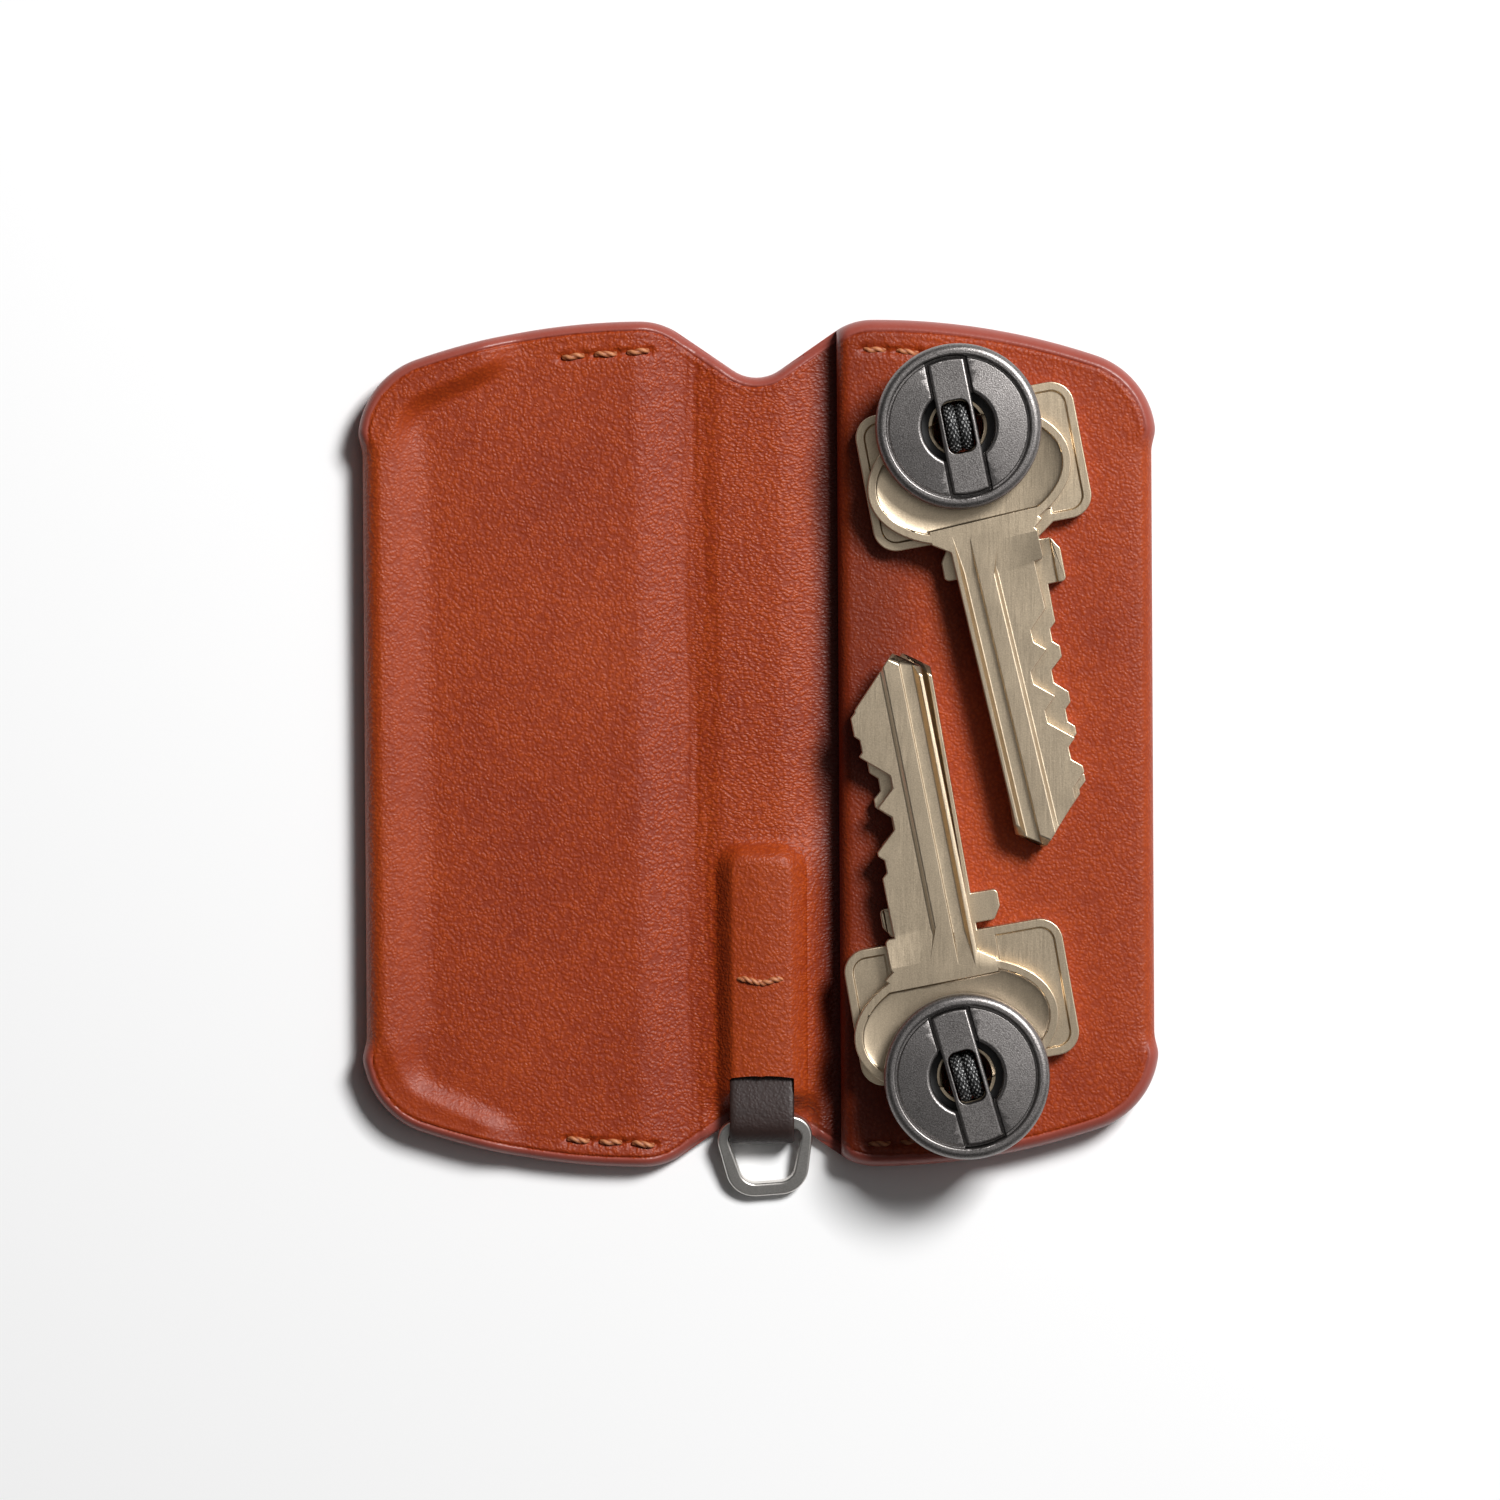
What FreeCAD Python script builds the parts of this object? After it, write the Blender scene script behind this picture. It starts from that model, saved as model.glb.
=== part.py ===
"""Folding leather key case, lying open with its inside face up.

Millimetres. The origin is the middle of the spine on the surface that the case lies on. +X runs from the
spine to the panel that carries the keys, +Y to the end of the case away from the ring, and +Z up.
"""
import FreeCAD, Part
import math
import os

from FreeCAD import Vector

# Outline of the open case: cover and panel mirror each other about the spine
half_width = 41.2
side_half_length = 31.4
corner_radius = 9.0
crest_x = 12.0
crest_rise = 12.35
shoulder_radius = 7.0
flank_degrees = 34.5
notch_radius = 4.2

# The two folds, and the running gap between the leathers there
cover_fold_x = -6.6
panel_fold_x = 6.0
fold_gap = 0.1

# Leathers and boards, with the glued margin round the boards
skin = 1.2
lining = 1.0
cover_core = 1.0
panel_core = 2.4
panel_lining = 1.2
seam_margin = 3.0
board_clear = 0.1
edge_round = 0.5

# Slope of the cover from its board down to the fold, and the raised lip round its free edge
cover_slope_run = 4.8
lip_height = 1.3
lip_width = 5.6
lip_slope_run = 2.4
lip_corner_rise = 3.1
lip_corner_radius = 5.0
lip_fade_degrees = 24.0

# Free inner edge of the panel, and the spine leather tucked under it
panel_edge_x = 8.3
tuck_width = 4.0

# Magnets in the cover
magnet_radius = 4.6

# Sleeve on the spine, the strap inside it and its bar tack
sleeve_x = 0.1
sleeve_width = 8.4
sleeve_length = 24.5
sleeve_mouth_inset = 3.4
sleeve_head_radius = 3.0
sleeve_clear = 0.1
sleeve_round = 0.7
strap_width = 6.5
strap_ply = 0.95
strap_end_inset = 3.0
tack_inset = 10.0
tack_length = 4.6

# Ring through the end of the strap
ring_x = 0.3
ring_bar_outset = 1.4
ring_wire = 1.35
ring_thickness = 1.3
ring_head_width = 10.7
ring_foot_width = 7.6
ring_length = 8.3
ring_shoulder_radius = 2.2
ring_foot_radius = 3.0
ring_edge_round = 0.25
ring_eye_clear = 0.1
ring_turn_degrees = 4.0
ring_room = 0.4

# Thread, and the grooves that its rows lie in
thread_radius = 0.28
stitch_length = 2.4
stitch_pitch = 3.35
stitch_first_x = 12.2
stitch_upper_inset = 3.15
stitch_lower_inset = 2.45
stitch_row_degrees = -4.0
stitches_in_row = 3
stitch_groove_depth = 0.3
stitch_groove_clear = 0.06

# Posts: elastic loop, its anchor and the holes that it passes
top_post_x = 20.6
top_post_inset = 11.25
bottom_post_x = 21.1
bottom_post_inset = 9.75
strand_radius = 0.6
strand_gap = 0.06
post_hole_radius = 2.2
anchor_radius = 4.6
knot_radius = 3.0
knot_height = 1.0
knot_clear = 0.15

# Lock disc
disc_radius = 8.5
disc_height = 3.0
disc_rim_width = 1.15
disc_rim_round = 0.75
disc_rim_lip = 0.2
disc_rim_step = 0.2
disc_face_fall = 0.25
disc_groove = 0.28
disc_groove_depth = 0.6
disc_hole_radius = 3.75
disc_hole_round = 0.4
disc_floor = 0.5
disc_foot_chamfer = 0.4
channel_width = 4.4

# Toggle bar
toggle_width = 3.75
toggle_end_clear = 0.35
toggle_seat_clear = 0.05
toggle_round = 0.3
window_width = 2.9
window_length = 5.5
window_radius = 0.9
pin_radius = 0.45
pin_clear = 0.05

# Keys: shared blank. Along the key from the hole to the tip is u, and the bitted side is +v
key_thickness = 2.0
key_gap = 0.12
upper_key_hole_radius = 2.6
lower_key_hole_radius = 3.35
lower_key_slack_x = 0.9
key_tip_u = 44.0
blade_back_v = -3.65
blade_bit_v = 4.5
tip_peak_v = -1.0
tip_back_run = 1.9
tip_bit_run = 5.6
tip_chamfer = 0.8
collar_u = 9.8
collar_length = 1.4
collar_back_v = -5.4
collar_bit_v = 6.2
collar_corner = 1.2
stop_round = 0.5
stop_slant = 0.8
stop_slant_run = 1.3
groove_ramp = 3.4
back_groove_v = -3.2
back_groove_width = 1.7
back_groove_depth = 0.7
back_wall_run = 0.4
bit_groove_v = 0.2
bit_groove_depth = 0.45
bit_wall_run = 0.35
under_groove_depth = 0.6
ridge_flare_v = 1.2
ridge_flare_length = 3.4
back_groove_root_u = 11.2
bit_groove_root_u = 12.2
bow_boss_radius = 7.2
bow_recess = 0.3
bow_dish = 0.45
bow_rim = 0.9
cut_first_u = 22.6
cut_pitch = 4.2
cut_root = 1.3
cut_flank_degrees = 48.0

# Oval bow of the upper keys
oval_u = 5.1
oval_half_length = 6.9
oval_half_width = 10.6

# Squared bow of the lower keys: where its sides start and end, its corners,
# and how far the blade lies off the middle
square_half_width = 11.4
square_corner_radius = 2.4
top_square_rear_u = -3.0
top_square_front_u = 11.2
bottom_square_rear_u = 0.4
bottom_square_front_u = 14.6
lower_blade_v = 0.8

# Stops beside the blade of each kind of key: where each starts, its length, and how far out it reaches
upper_stops = ((10.8, 4.4, 5.5),)
top_lower_stops = ((12.7, 4.7, 6.4), (11.9, 3.3, -5.9))
bottom_lower_stops = ((15.2, 3.1, 5.9), (15.3, 3.1, -6.4))

# Depths of each key's cuts, as shares of the blade's width, from the bow to the tip
top_upper_depth_shares = (0.24, 0.36, 0.30, 0.12, 0.18)
top_lower_depth_shares = (0.08, 0.16, 0.08, 0.20, 0.10)
bottom_upper_depth_shares = (0.07, 0.27, 0.35, 0.06, 0.07)
bottom_lower_depth_shares = (0.06, 0.18, 0.10, 0.14, 0.08)

# Directions in degrees about +Z, from +X: each key from its hole to its tip, and each toggle bar
top_upper_key_degrees = -77.0
top_lower_key_degrees = -79.5
bottom_upper_key_degrees = 100.95
bottom_lower_key_degrees = 99.7
top_toggle_degrees = 101.0
bottom_toggle_degrees = 105.8

# How far a cut runs past what it cuts, and the tolerance for picking edges
overrun = 1.0
touch = 0.001

# Places worked out from the outline
flank = math.radians(flank_degrees)
crest_y = side_half_length + crest_rise
flank_start_x = crest_x - shoulder_radius * math.sin(flank)
flank_start_y = crest_y - shoulder_radius * (1 - math.cos(flank))
flank_foot_y = flank_start_y - flank_start_x * math.tan(flank)
notch_centre_y = flank_foot_y + notch_radius / math.cos(flank)
notch_y = notch_centre_y - notch_radius
lip_corner_y = side_half_length + lip_corner_rise
sleeve_mouth_y = sleeve_mouth_inset - notch_y
sleeve_head_y = sleeve_mouth_y + sleeve_length
strap_end_y = sleeve_head_y - strap_end_inset
tack_y = sleeve_mouth_y + tack_inset
ring_bar_y = -notch_y - ring_bar_outset
stitch_upper_y = crest_y - stitch_upper_inset
stitch_lower_y = crest_y - stitch_lower_inset
top_post_y = crest_y - top_post_inset
bottom_post_y = bottom_post_inset - crest_y

# Levels worked out from the stack
spine_top = skin + lining
cover_floor = skin + cover_core + lining
cover_top = cover_floor + lip_height
panel_top = skin + panel_core + panel_lining
panel_core_top = skin + panel_core
strap_middle_z = skin + strap_ply
sleeve_roof = skin + strap_ply + strap_ply + sleeve_clear
lower_key_z = panel_top + key_gap
upper_key_z = lower_key_z + key_thickness + key_gap
disc_z = upper_key_z + key_thickness + key_gap
disc_face_z = disc_z + disc_height - disc_rim_step
toggle_z = disc_z + disc_floor + toggle_seat_clear
pin_z = toggle_z + pin_radius + pin_clear

POSTS = {
    "top": (top_post_x, top_post_y, top_toggle_degrees),
    "bottom": (bottom_post_x, bottom_post_y, bottom_toggle_degrees),
}


def prism(wire, z_low, z_high):
    face = Part.Face(wire)
    face.translate(Vector(0, 0, z_low))
    return face.extrude(Vector(0, 0, z_high - z_low))


def drum(x, y, radius, z_low, z_high):
    return Part.makeCylinder(radius, z_high - z_low, Vector(x, y, z_low))


def polygon(points):
    corners = [Vector(u, v, 0) for u, v in points]
    return Part.makePolygon(corners + corners[:1])


def block(x_low, x_high, y_low, y_high, z_low, z_high):
    return Part.makeBox(x_high - x_low, y_high - y_low, z_high - z_low, Vector(x_low, y_low, z_low))


def arc(start, middle, end):
    return Part.Arc(Vector(*start, 0), Vector(*middle, 0), Vector(*end, 0)).toShape()


def line(start, end):
    return Part.LineSegment(Vector(*start, 0), Vector(*end, 0)).toShape()


def on_circle(centre, radius, degrees):
    angle = math.radians(degrees)
    return (centre[0] + radius * math.cos(angle), centre[1] + radius * math.sin(angle))


def flank_y(x):
    """Height of the notch's straight flank at a distance x from the middle of the spine."""
    return flank_foot_y + x * math.tan(flank)


def upper_edge():
    """Edges of the right half's upper rim from the notch flank to the side, and the flank's end."""
    corner = (half_width - corner_radius, side_half_length)
    run = corner[0] - crest_x
    drop = crest_y - corner[1]
    top_radius = (run**2 + drop**2 - corner_radius**2) / (2 * (drop - corner_radius))
    top = (crest_x, crest_y - top_radius)
    shoulder = (crest_x, crest_y - shoulder_radius)
    turn = math.degrees(math.atan2(corner[1] - top[1], run))
    flank_end = on_circle(shoulder, shoulder_radius, 90 + flank_degrees)
    crest = (crest_x, crest_y)
    meeting = on_circle(top, top_radius, turn)
    side = (half_width, side_half_length)
    edges = [
        arc(flank_end, on_circle(shoulder, shoulder_radius, 90 + flank_degrees / 2), crest),
        arc(crest, on_circle(top, top_radius, (90 + turn) / 2), meeting),
        arc(meeting, on_circle(corner, corner_radius, turn / 2), side),
    ]
    return edges, flank_end


def half_wire(inner_x):
    """Closed outline of the right half of the case, from a straight inner edge at inner_x outwards."""
    edges, flank_end = upper_edge()
    if inner_x < flank_end[0]:
        inner_y = flank_y(inner_x)
        edges.insert(0, line((inner_x, inner_y), flank_end))
    else:
        shoulder_y = crest_y - shoulder_radius
        inner_y = shoulder_y + math.sqrt(shoulder_radius**2 - (crest_x - inner_x) ** 2)
        bend = math.degrees(math.asin((crest_x - inner_x) / shoulder_radius))
        middle = on_circle((crest_x, shoulder_y), shoulder_radius, 90 + bend / 2)
        edges[0] = arc((inner_x, inner_y), middle, (crest_x, crest_y))
    mirrored = [edge.mirror(Vector(), Vector(0, 1, 0)) for edge in edges]
    side = line((half_width, side_half_length), (half_width, -side_half_length))
    inner = line((inner_x, -inner_y), (inner_x, inner_y))
    return Part.Wire(Part.__sortEdges__(edges + [side] + mirrored + [inner]))


def spine_wire(left_x, right_x):
    """Outline of the spine between the folds, with the rounded notch at both ends."""
    foot_x = notch_radius * math.sin(flank)
    foot_y = notch_centre_y - notch_radius * math.cos(flank)
    edges = [
        line((left_x, flank_y(-left_x)), (-foot_x, foot_y)),
        arc((-foot_x, foot_y), (0, notch_y), (foot_x, foot_y)),
        line((foot_x, foot_y), (right_x, flank_y(right_x))),
    ]
    edges += [edge.mirror(Vector(), Vector(0, 1, 0)) for edge in edges]
    for x in (left_x, right_x):
        edges.append(line((x, -flank_y(abs(x))), (x, flank_y(abs(x)))))
    return Part.Wire(Part.__sortEdges__(edges))


def edges_at(solid, z):
    """Edges of a solid that lie flat at the level z."""
    return [edge for edge in solid.Edges if edge.BoundBox.ZMin > z - touch and edge.BoundBox.ZMax < z + touch]


def upright_edges(solid):
    return [edge for edge in solid.Edges if edge.BoundBox.ZLength > touch]


def round_rim(solid, z, radius, inner_x):
    """Rounds the outer edges of a right-hand piece at the level z."""
    rim = [edge for edge in edges_at(solid, z) if edge.BoundBox.XMax > inner_x + touch]
    return solid.makeFillet(radius, rim)


def to_left(solid):
    return solid.mirror(Vector(), Vector(1, 0, 0))


def board_wire(inner_x, margin):
    """Outline of a board or its pocket: the case outline drawn in by margin, from inner_x outwards."""
    return half_wire(inner_x - margin).makeOffset2D(-margin)


def magnet_place(post):
    """Where the magnet lies in the open cover, so that it meets the disc when the case is shut."""
    x, y, _ = POSTS[post]
    return cover_fold_x + panel_fold_x - x, y


def dish_wire(outset, z):
    """Edge of the cover's dish on the right-hand model, pushed out by outset."""
    fade = math.radians(lip_fade_degrees)
    side_x = half_width - lip_width + outset
    turn_y = lip_corner_y + outset * (1 / math.cos(fade) - math.tan(fade))
    radius = lip_corner_radius + outset
    cut_back = radius * math.tan((math.pi / 2 - fade) / 2)
    inner_x = -cover_fold_x - overrun
    far_y = turn_y + (side_x - inner_x) * math.tan(fade)
    low = (side_x, turn_y - cut_back)
    high = (side_x - cut_back * math.cos(fade), turn_y + cut_back * math.sin(fade))
    centre = (side_x - radius, turn_y - cut_back)
    bend = arc(low, on_circle(centre, radius, (90 - lip_fade_degrees) / 2), high)
    edges = [bend, line(high, (inner_x, far_y))]
    edges += [edge.mirror(Vector(), Vector(0, 1, 0)) for edge in edges]
    edges.append(line(low, (low[0], -low[1])))
    edges.append(line((inner_x, far_y), (inner_x, -far_y)))
    wire = Part.Wire(Part.__sortEdges__(edges))
    wire.translate(Vector(0, 0, z))
    return wire


def cover_pieces():
    fold_x = fold_gap - cover_fold_x
    outer = prism(half_wire(fold_x), 0, skin)
    outer = round_rim(outer, 0, edge_round, fold_x)
    board_x = fold_x + cover_slope_run
    pocket_margin = seam_margin - board_clear
    board = prism(board_wire(board_x + board_clear, seam_margin), skin, skin + cover_core)
    pocket = prism(board_wire(board_x, pocket_margin), skin, skin + cover_core)
    magnets = {}
    for post in POSTS:
        x, y = magnet_place(post)
        magnets[post] = drum(x, y, magnet_radius, skin, skin + cover_core)
        board = board.cut(drum(-x, y, magnet_radius + board_clear, 0, cover_top))
    inner = prism(half_wire(fold_x), skin, cover_top)
    inner = round_rim(inner, cover_top, edge_round, fold_x)
    slope = (lip_height + overrun) / lip_height
    dish = Part.makeLoft(
        [dish_wire(0, cover_floor), dish_wire(lip_slope_run * slope, cover_top + overrun)], True, True
    )
    slope_cut = Part.Face(
        polygon_xz(
            [
                (fold_x, spine_top),
                (board_x, cover_floor),
                (board_x, cover_top + overrun),
                (fold_x, cover_top + overrun),
            ]
        )
    )
    slope_cut.translate(Vector(0, -crest_y, 0))
    inner = inner.cut(dish).cut(pocket).cut(slope_cut.extrude(Vector(0, crest_y * 2, 0)))
    for groove in stitch_grooves(cover_floor):
        inner = inner.cut(groove)
    return {
        "cover_outer_leather": to_left(outer),
        "cover_board": to_left(board),
        "cover_inner_leather": to_left(inner),
        "cover_top_magnet": magnets["top"],
        "cover_bottom_magnet": magnets["bottom"],
        "cover_stitches": stitch_rows(cover_floor, -1),
    }


def panel_pieces():
    fold_x = panel_fold_x + fold_gap
    outer = prism(half_wire(fold_x), 0, skin)
    outer = round_rim(outer, 0, edge_round, fold_x)
    tuck_room = block(0, panel_edge_x + tuck_width, -half_width * 2, half_width * 2, skin, spine_top)
    tuck = prism(half_wire(fold_x), skin, spine_top).common(tuck_room)
    board_x = panel_edge_x + panel_lining
    pocket_margin = seam_margin - board_clear
    board = prism(board_wire(board_x + board_clear, seam_margin), skin, panel_core_top).cut(tuck_room)
    pocket = prism(board_wire(board_x, pocket_margin), skin, panel_core_top)
    inner = prism(half_wire(panel_edge_x), skin, panel_top)
    inner = inner.makeFillet(edge_round, edges_at(inner, panel_top))
    inner = inner.cut(pocket).cut(tuck_room)
    for groove in stitch_grooves(panel_top):
        inner = inner.cut(groove)
    pieces = {"panel_outer_leather": outer, "hinge_tuck": tuck}
    for post, (x, y, _) in POSTS.items():
        inner = inner.cut(drum(x, y, post_hole_radius, skin, panel_top + overrun))
        board = board.cut(drum(x, y, anchor_radius + board_clear, 0, panel_top))
        knot_roof = skin + knot_height + knot_clear
        anchor = drum(x, y, anchor_radius, skin, panel_core_top)
        anchor = anchor.cut(drum(x, y, knot_radius + knot_clear, skin, knot_roof))
        anchor = anchor.cut(drum(x, y, post_hole_radius, skin, panel_top))
        pieces[post + "_anchor"] = anchor
    pieces["panel_board"] = board
    pieces["panel_inner_leather"] = inner
    pieces["panel_stitches"] = stitch_rows(panel_top, 1)
    return pieces


def half_capsule(x, y, z, length, degrees):
    """A stitch lying on the leather: the upper half of a round-ended thread."""
    middle = length - thread_radius * 2
    body = Part.makeCylinder(thread_radius, middle, Vector(-middle / 2, 0, 0), Vector(1, 0, 0))
    for end in (-middle / 2, middle / 2):
        body = body.fuse(Part.makeSphere(thread_radius, Vector(end, 0, 0)))
    reach = length
    body = body.removeSplitter().common(block(-reach, reach, -reach, reach, 0, reach))
    body.rotate(Vector(), Vector(0, 0, 1), degrees)
    body.translate(Vector(x, y, z))
    return body


def stitch_rows(z, side):
    """Two short rows of stitches in the grooves of the level z. side is 1 on the panel, -1 on the cover."""
    slope = math.tan(math.radians(stitch_row_degrees))
    bed = z - stitch_groove_depth
    stitches = []
    for end, first_y in ((1, stitch_upper_y), (-1, stitch_lower_y)):
        for number in range(stitches_in_row):
            away = number * stitch_pitch
            x = side * (stitch_first_x + away)
            y = end * (first_y + away * slope)
            stitches.append(half_capsule(x, y, bed, stitch_length, side * end * stitch_row_degrees))
    return Part.makeCompound(stitches)


def stitch_grooves(z):
    """Grooves of the right-hand model for the two rows of stitches, cut down from the level z."""
    angle = math.radians(stitch_row_degrees)
    away = stitch_pitch * (stitches_in_row - 1) / 2
    reach = away / math.cos(angle) + stitch_length / 2 + stitch_groove_clear
    half = thread_radius + stitch_groove_clear
    grooves = []
    for end, first_y in ((1, stitch_upper_y), (-1, stitch_lower_y)):
        groove = block(-reach, reach, -half, half, z - stitch_groove_depth, z + lip_height + overrun)
        groove = groove.makeFillet(thread_radius, upright_edges(groove))
        groove.rotate(Vector(), Vector(0, 0, 1), end * stitch_row_degrees)
        groove.translate(Vector(stitch_first_x + away, end * (first_y + away * math.tan(angle)), 0))
        grooves.append(groove)
    return grooves


def spine_pieces():
    left_x = cover_fold_x + fold_gap
    right_x = panel_fold_x - fold_gap
    wire = spine_wire(left_x, right_x)
    outer = prism(wire, 0, skin)
    inner = prism(wire, skin, spine_top)
    low_x = sleeve_x - sleeve_width / 2
    high_x = sleeve_x + sleeve_width / 2
    roof = sleeve_roof + lining
    sleeve = block(low_x, high_x, sleeve_mouth_y, sleeve_head_y, skin, roof)
    head = [edge for edge in upright_edges(sleeve) if edge.BoundBox.YMin > sleeve_head_y - touch]
    sleeve = sleeve.makeFillet(sleeve_head_radius, head)
    crown = [edge for edge in edges_at(sleeve, roof) if edge.BoundBox.YMax > sleeve_mouth_y + touch]
    sleeve = sleeve.makeFillet(sleeve_round, crown)
    inner = inner.fuse(sleeve).removeSplitter()
    half = strap_width / 2
    tunnel = block(
        sleeve_x - half - sleeve_clear,
        sleeve_x + half + sleeve_clear,
        -crest_y,
        strap_end_y + sleeve_clear,
        skin,
        sleeve_roof,
    )
    eye = eye_radius()
    skived = block(
        ring_x - ring_head_width / 2,
        ring_x + ring_head_width / 2,
        -crest_y,
        ring_bar_y + eye + ring_room,
        skin,
        sleeve_roof,
    )
    inner = inner.cut(tunnel).cut(skived)
    loop_radius = eye + strap_ply
    strap = block(sleeve_x - half, sleeve_x + half, ring_bar_y, strap_end_y, skin, skin + strap_ply * 2)
    across = Vector(1, 0, 0)
    corner = Vector(sleeve_x - half, ring_bar_y, strap_middle_z)
    strap = strap.fuse(Part.makeCylinder(loop_radius, strap_width, corner, across)).removeSplitter()
    strap = strap.cut(Part.makeCylinder(eye, strap_width, corner, across))
    tack = half_capsule(sleeve_x, tack_y, roof, tack_length, 0)
    return {
        "spine_outer_leather": outer.cut(loop_room(loop_radius)),
        "spine_inner_leather": inner,
        "loop_strap": strap,
        "sleeve_stitch": tack,
    }


def loop_room(loop_radius):
    """Room in the outer leather for the underside of the strap's loop."""
    room = Part.makeCylinder(
        loop_radius + sleeve_clear,
        strap_width + sleeve_clear * 2,
        Vector(sleeve_x - strap_width / 2 - sleeve_clear, ring_bar_y, strap_middle_z),
        Vector(1, 0, 0),
    )
    return room


def eye_radius():
    """Radius of the strap's eye: the ring's bar, turned askew, with room to swing."""
    bar = math.hypot(ring_wire / 2, ring_thickness / 2) - ring_edge_round * (math.sqrt(2) - 1)
    skew = strap_width / 2 * math.sin(math.radians(ring_turn_degrees))
    return bar + skew + ring_eye_clear


def ring_wire_loop(inset):
    """Outline of the ring, drawn in by inset. The bar's centre line is y 0, and the foot points to -Y."""
    head_y = ring_wire / 2 - inset
    foot_y = ring_wire / 2 - ring_length + inset
    half_head = ring_head_width / 2 - inset
    half_foot = ring_foot_width / 2 - inset
    outline = polygon([(half_foot, foot_y), (half_head, head_y), (-half_head, head_y), (-half_foot, foot_y)])
    plate = prism(outline, 0, ring_thickness)
    for y, radius in ((head_y, ring_shoulder_radius), (foot_y, ring_foot_radius)):
        corners = [edge for edge in upright_edges(plate) if abs(edge.CenterOfMass.y - y) < touch]
        plate = plate.makeFillet(radius - inset, corners)
    return plate


def ring_dip_degrees():
    """How far the ring hangs down from its bar, until its foot lies on the surface."""
    reach = ring_length - ring_wire / 2
    half = ring_thickness / 2
    return math.degrees(math.asin(strap_middle_z / math.hypot(reach, half)) - math.atan2(half, reach))


def ring_piece():
    ring = ring_wire_loop(0).cut(ring_wire_loop(ring_wire))
    flat = [edge for edge in ring.Edges if edge.BoundBox.ZLength < touch]
    ring = ring.makeFillet(ring_edge_round, flat)
    ring.translate(Vector(0, 0, -ring_thickness / 2))
    ring.rotate(Vector(), Vector(1, 0, 0), ring_dip_degrees())
    ring.rotate(Vector(), Vector(0, 0, 1), ring_turn_degrees)
    ring.translate(Vector(ring_x, ring_bar_y, strap_middle_z))
    return ring


def on_post(solid, post):
    """Turns a piece modelled with its bar along +X to the toggle's direction, and sets it on the post."""
    x, y, degrees = POSTS[post]
    solid.rotate(Vector(), Vector(0, 0, 1), degrees)
    solid.translate(Vector(x, y, 0))
    return solid


def cord_piece():
    """Elastic loop of two strands over the toggle's pin, ending in a sewn knot under the anchor."""
    bend = pin_radius + pin_clear + strand_radius
    foot_z = skin + knot_height / 2
    offset = strand_radius + strand_gap / 2
    cord = drum(0, 0, knot_radius, skin, skin + knot_height)
    for side in (-offset, offset):
        up = Part.LineSegment(Vector(-bend, side, foot_z), Vector(-bend, side, pin_z)).toShape()
        over = Part.Arc(
            Vector(-bend, side, pin_z), Vector(0, side, pin_z + bend), Vector(bend, side, pin_z)
        ).toShape()
        down = Part.LineSegment(Vector(bend, side, pin_z), Vector(bend, side, foot_z)).toShape()
        profile = Part.Wire(Part.makeCircle(strand_radius, Vector(-bend, side, foot_z), Vector(0, 0, 1)))
        cord = cord.fuse(Part.Wire([up, over, down]).makePipeShell([profile], True, False))
    return cord.removeSplitter()


def disc_piece():
    """Round disc with a rolled rim, a crowned face, a hole for the elastic and a channel for the toggle."""
    top_z = disc_z + disc_height
    rim_inner = disc_radius - disc_rim_width
    face_radius = rim_inner - disc_groove
    groove_z = disc_face_z - disc_groove_depth
    profile = polygon_xz(
        [
            (disc_hole_radius, disc_z),
            (disc_radius - disc_foot_chamfer, disc_z),
            (disc_radius, disc_z + disc_foot_chamfer),
            (disc_radius, top_z),
            (rim_inner, top_z),
            (rim_inner, groove_z),
            (face_radius, groove_z),
            (face_radius, disc_face_z - disc_face_fall),
            (disc_hole_radius, disc_face_z),
        ]
    )
    disc = Part.Face(profile).revolve(Vector(), Vector(0, 0, 1), 360)
    rim = [edge for edge in edges_at(disc, top_z) if edge.BoundBox.XMax > disc_radius - touch]
    disc = disc.makeFillet(disc_rim_round, rim)
    lip = [edge for edge in edges_at(disc, top_z) if edge.BoundBox.XMax < rim_inner + touch]
    disc = disc.makeFillet(disc_rim_lip, lip)
    disc = disc.makeFillet(disc_hole_round, edges_at(disc, disc_face_z))
    half = channel_width / 2
    channel = block(-disc_radius, disc_radius, -half, half, disc_z + disc_floor, top_z + overrun)
    channel = channel.common(drum(0, 0, rim_inner, disc_z, top_z + overrun))
    return disc.cut(channel)


def polygon_xz(points):
    corners = [Vector(x, 0, z) for x, z in points]
    return Part.makePolygon(corners + corners[:1])


def toggle_piece():
    """Bar that lies in the disc's channel, with a window and a cross pin that the elastic goes round."""
    reach = disc_radius - disc_rim_width - toggle_end_clear
    half = toggle_width / 2
    bar = block(-reach, reach, -half, half, toggle_z, disc_face_z)
    bar = bar.common(drum(0, 0, reach, toggle_z, disc_face_z))
    bar = bar.makeFillet(toggle_round, edges_at(bar, disc_face_z))
    window = block(
        -window_length / 2, window_length / 2, -window_width / 2, window_width / 2, 0, disc_face_z + overrun
    )
    bar = bar.cut(window.makeFillet(window_radius, upright_edges(window)))
    pin_end = Vector(0, toggle_round - half, pin_z)
    pin = Part.makeCylinder(pin_radius, toggle_width - toggle_round * 2, pin_end, Vector(0, 1, 0))
    return bar.fuse(pin).removeSplitter()


def square_bow(rear_u, front_u):
    """Plate of a squared bow with rounded corners."""
    half = square_half_width
    plate = block(rear_u, front_u, -half, half, 0, key_thickness)
    return plate.makeFillet(square_corner_radius, upright_edges(plate))


def oval_plate():
    """Oval plate whose long axis lies across the key."""
    oval = Part.Ellipse(Vector(oval_u, 0, 0), oval_half_width, oval_half_length)
    plate = prism(Part.Wire(oval.toShape()), 0, key_thickness)
    plate.rotate(Vector(oval_u, 0, 0), Vector(0, 0, 1), 90)
    return plate


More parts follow.
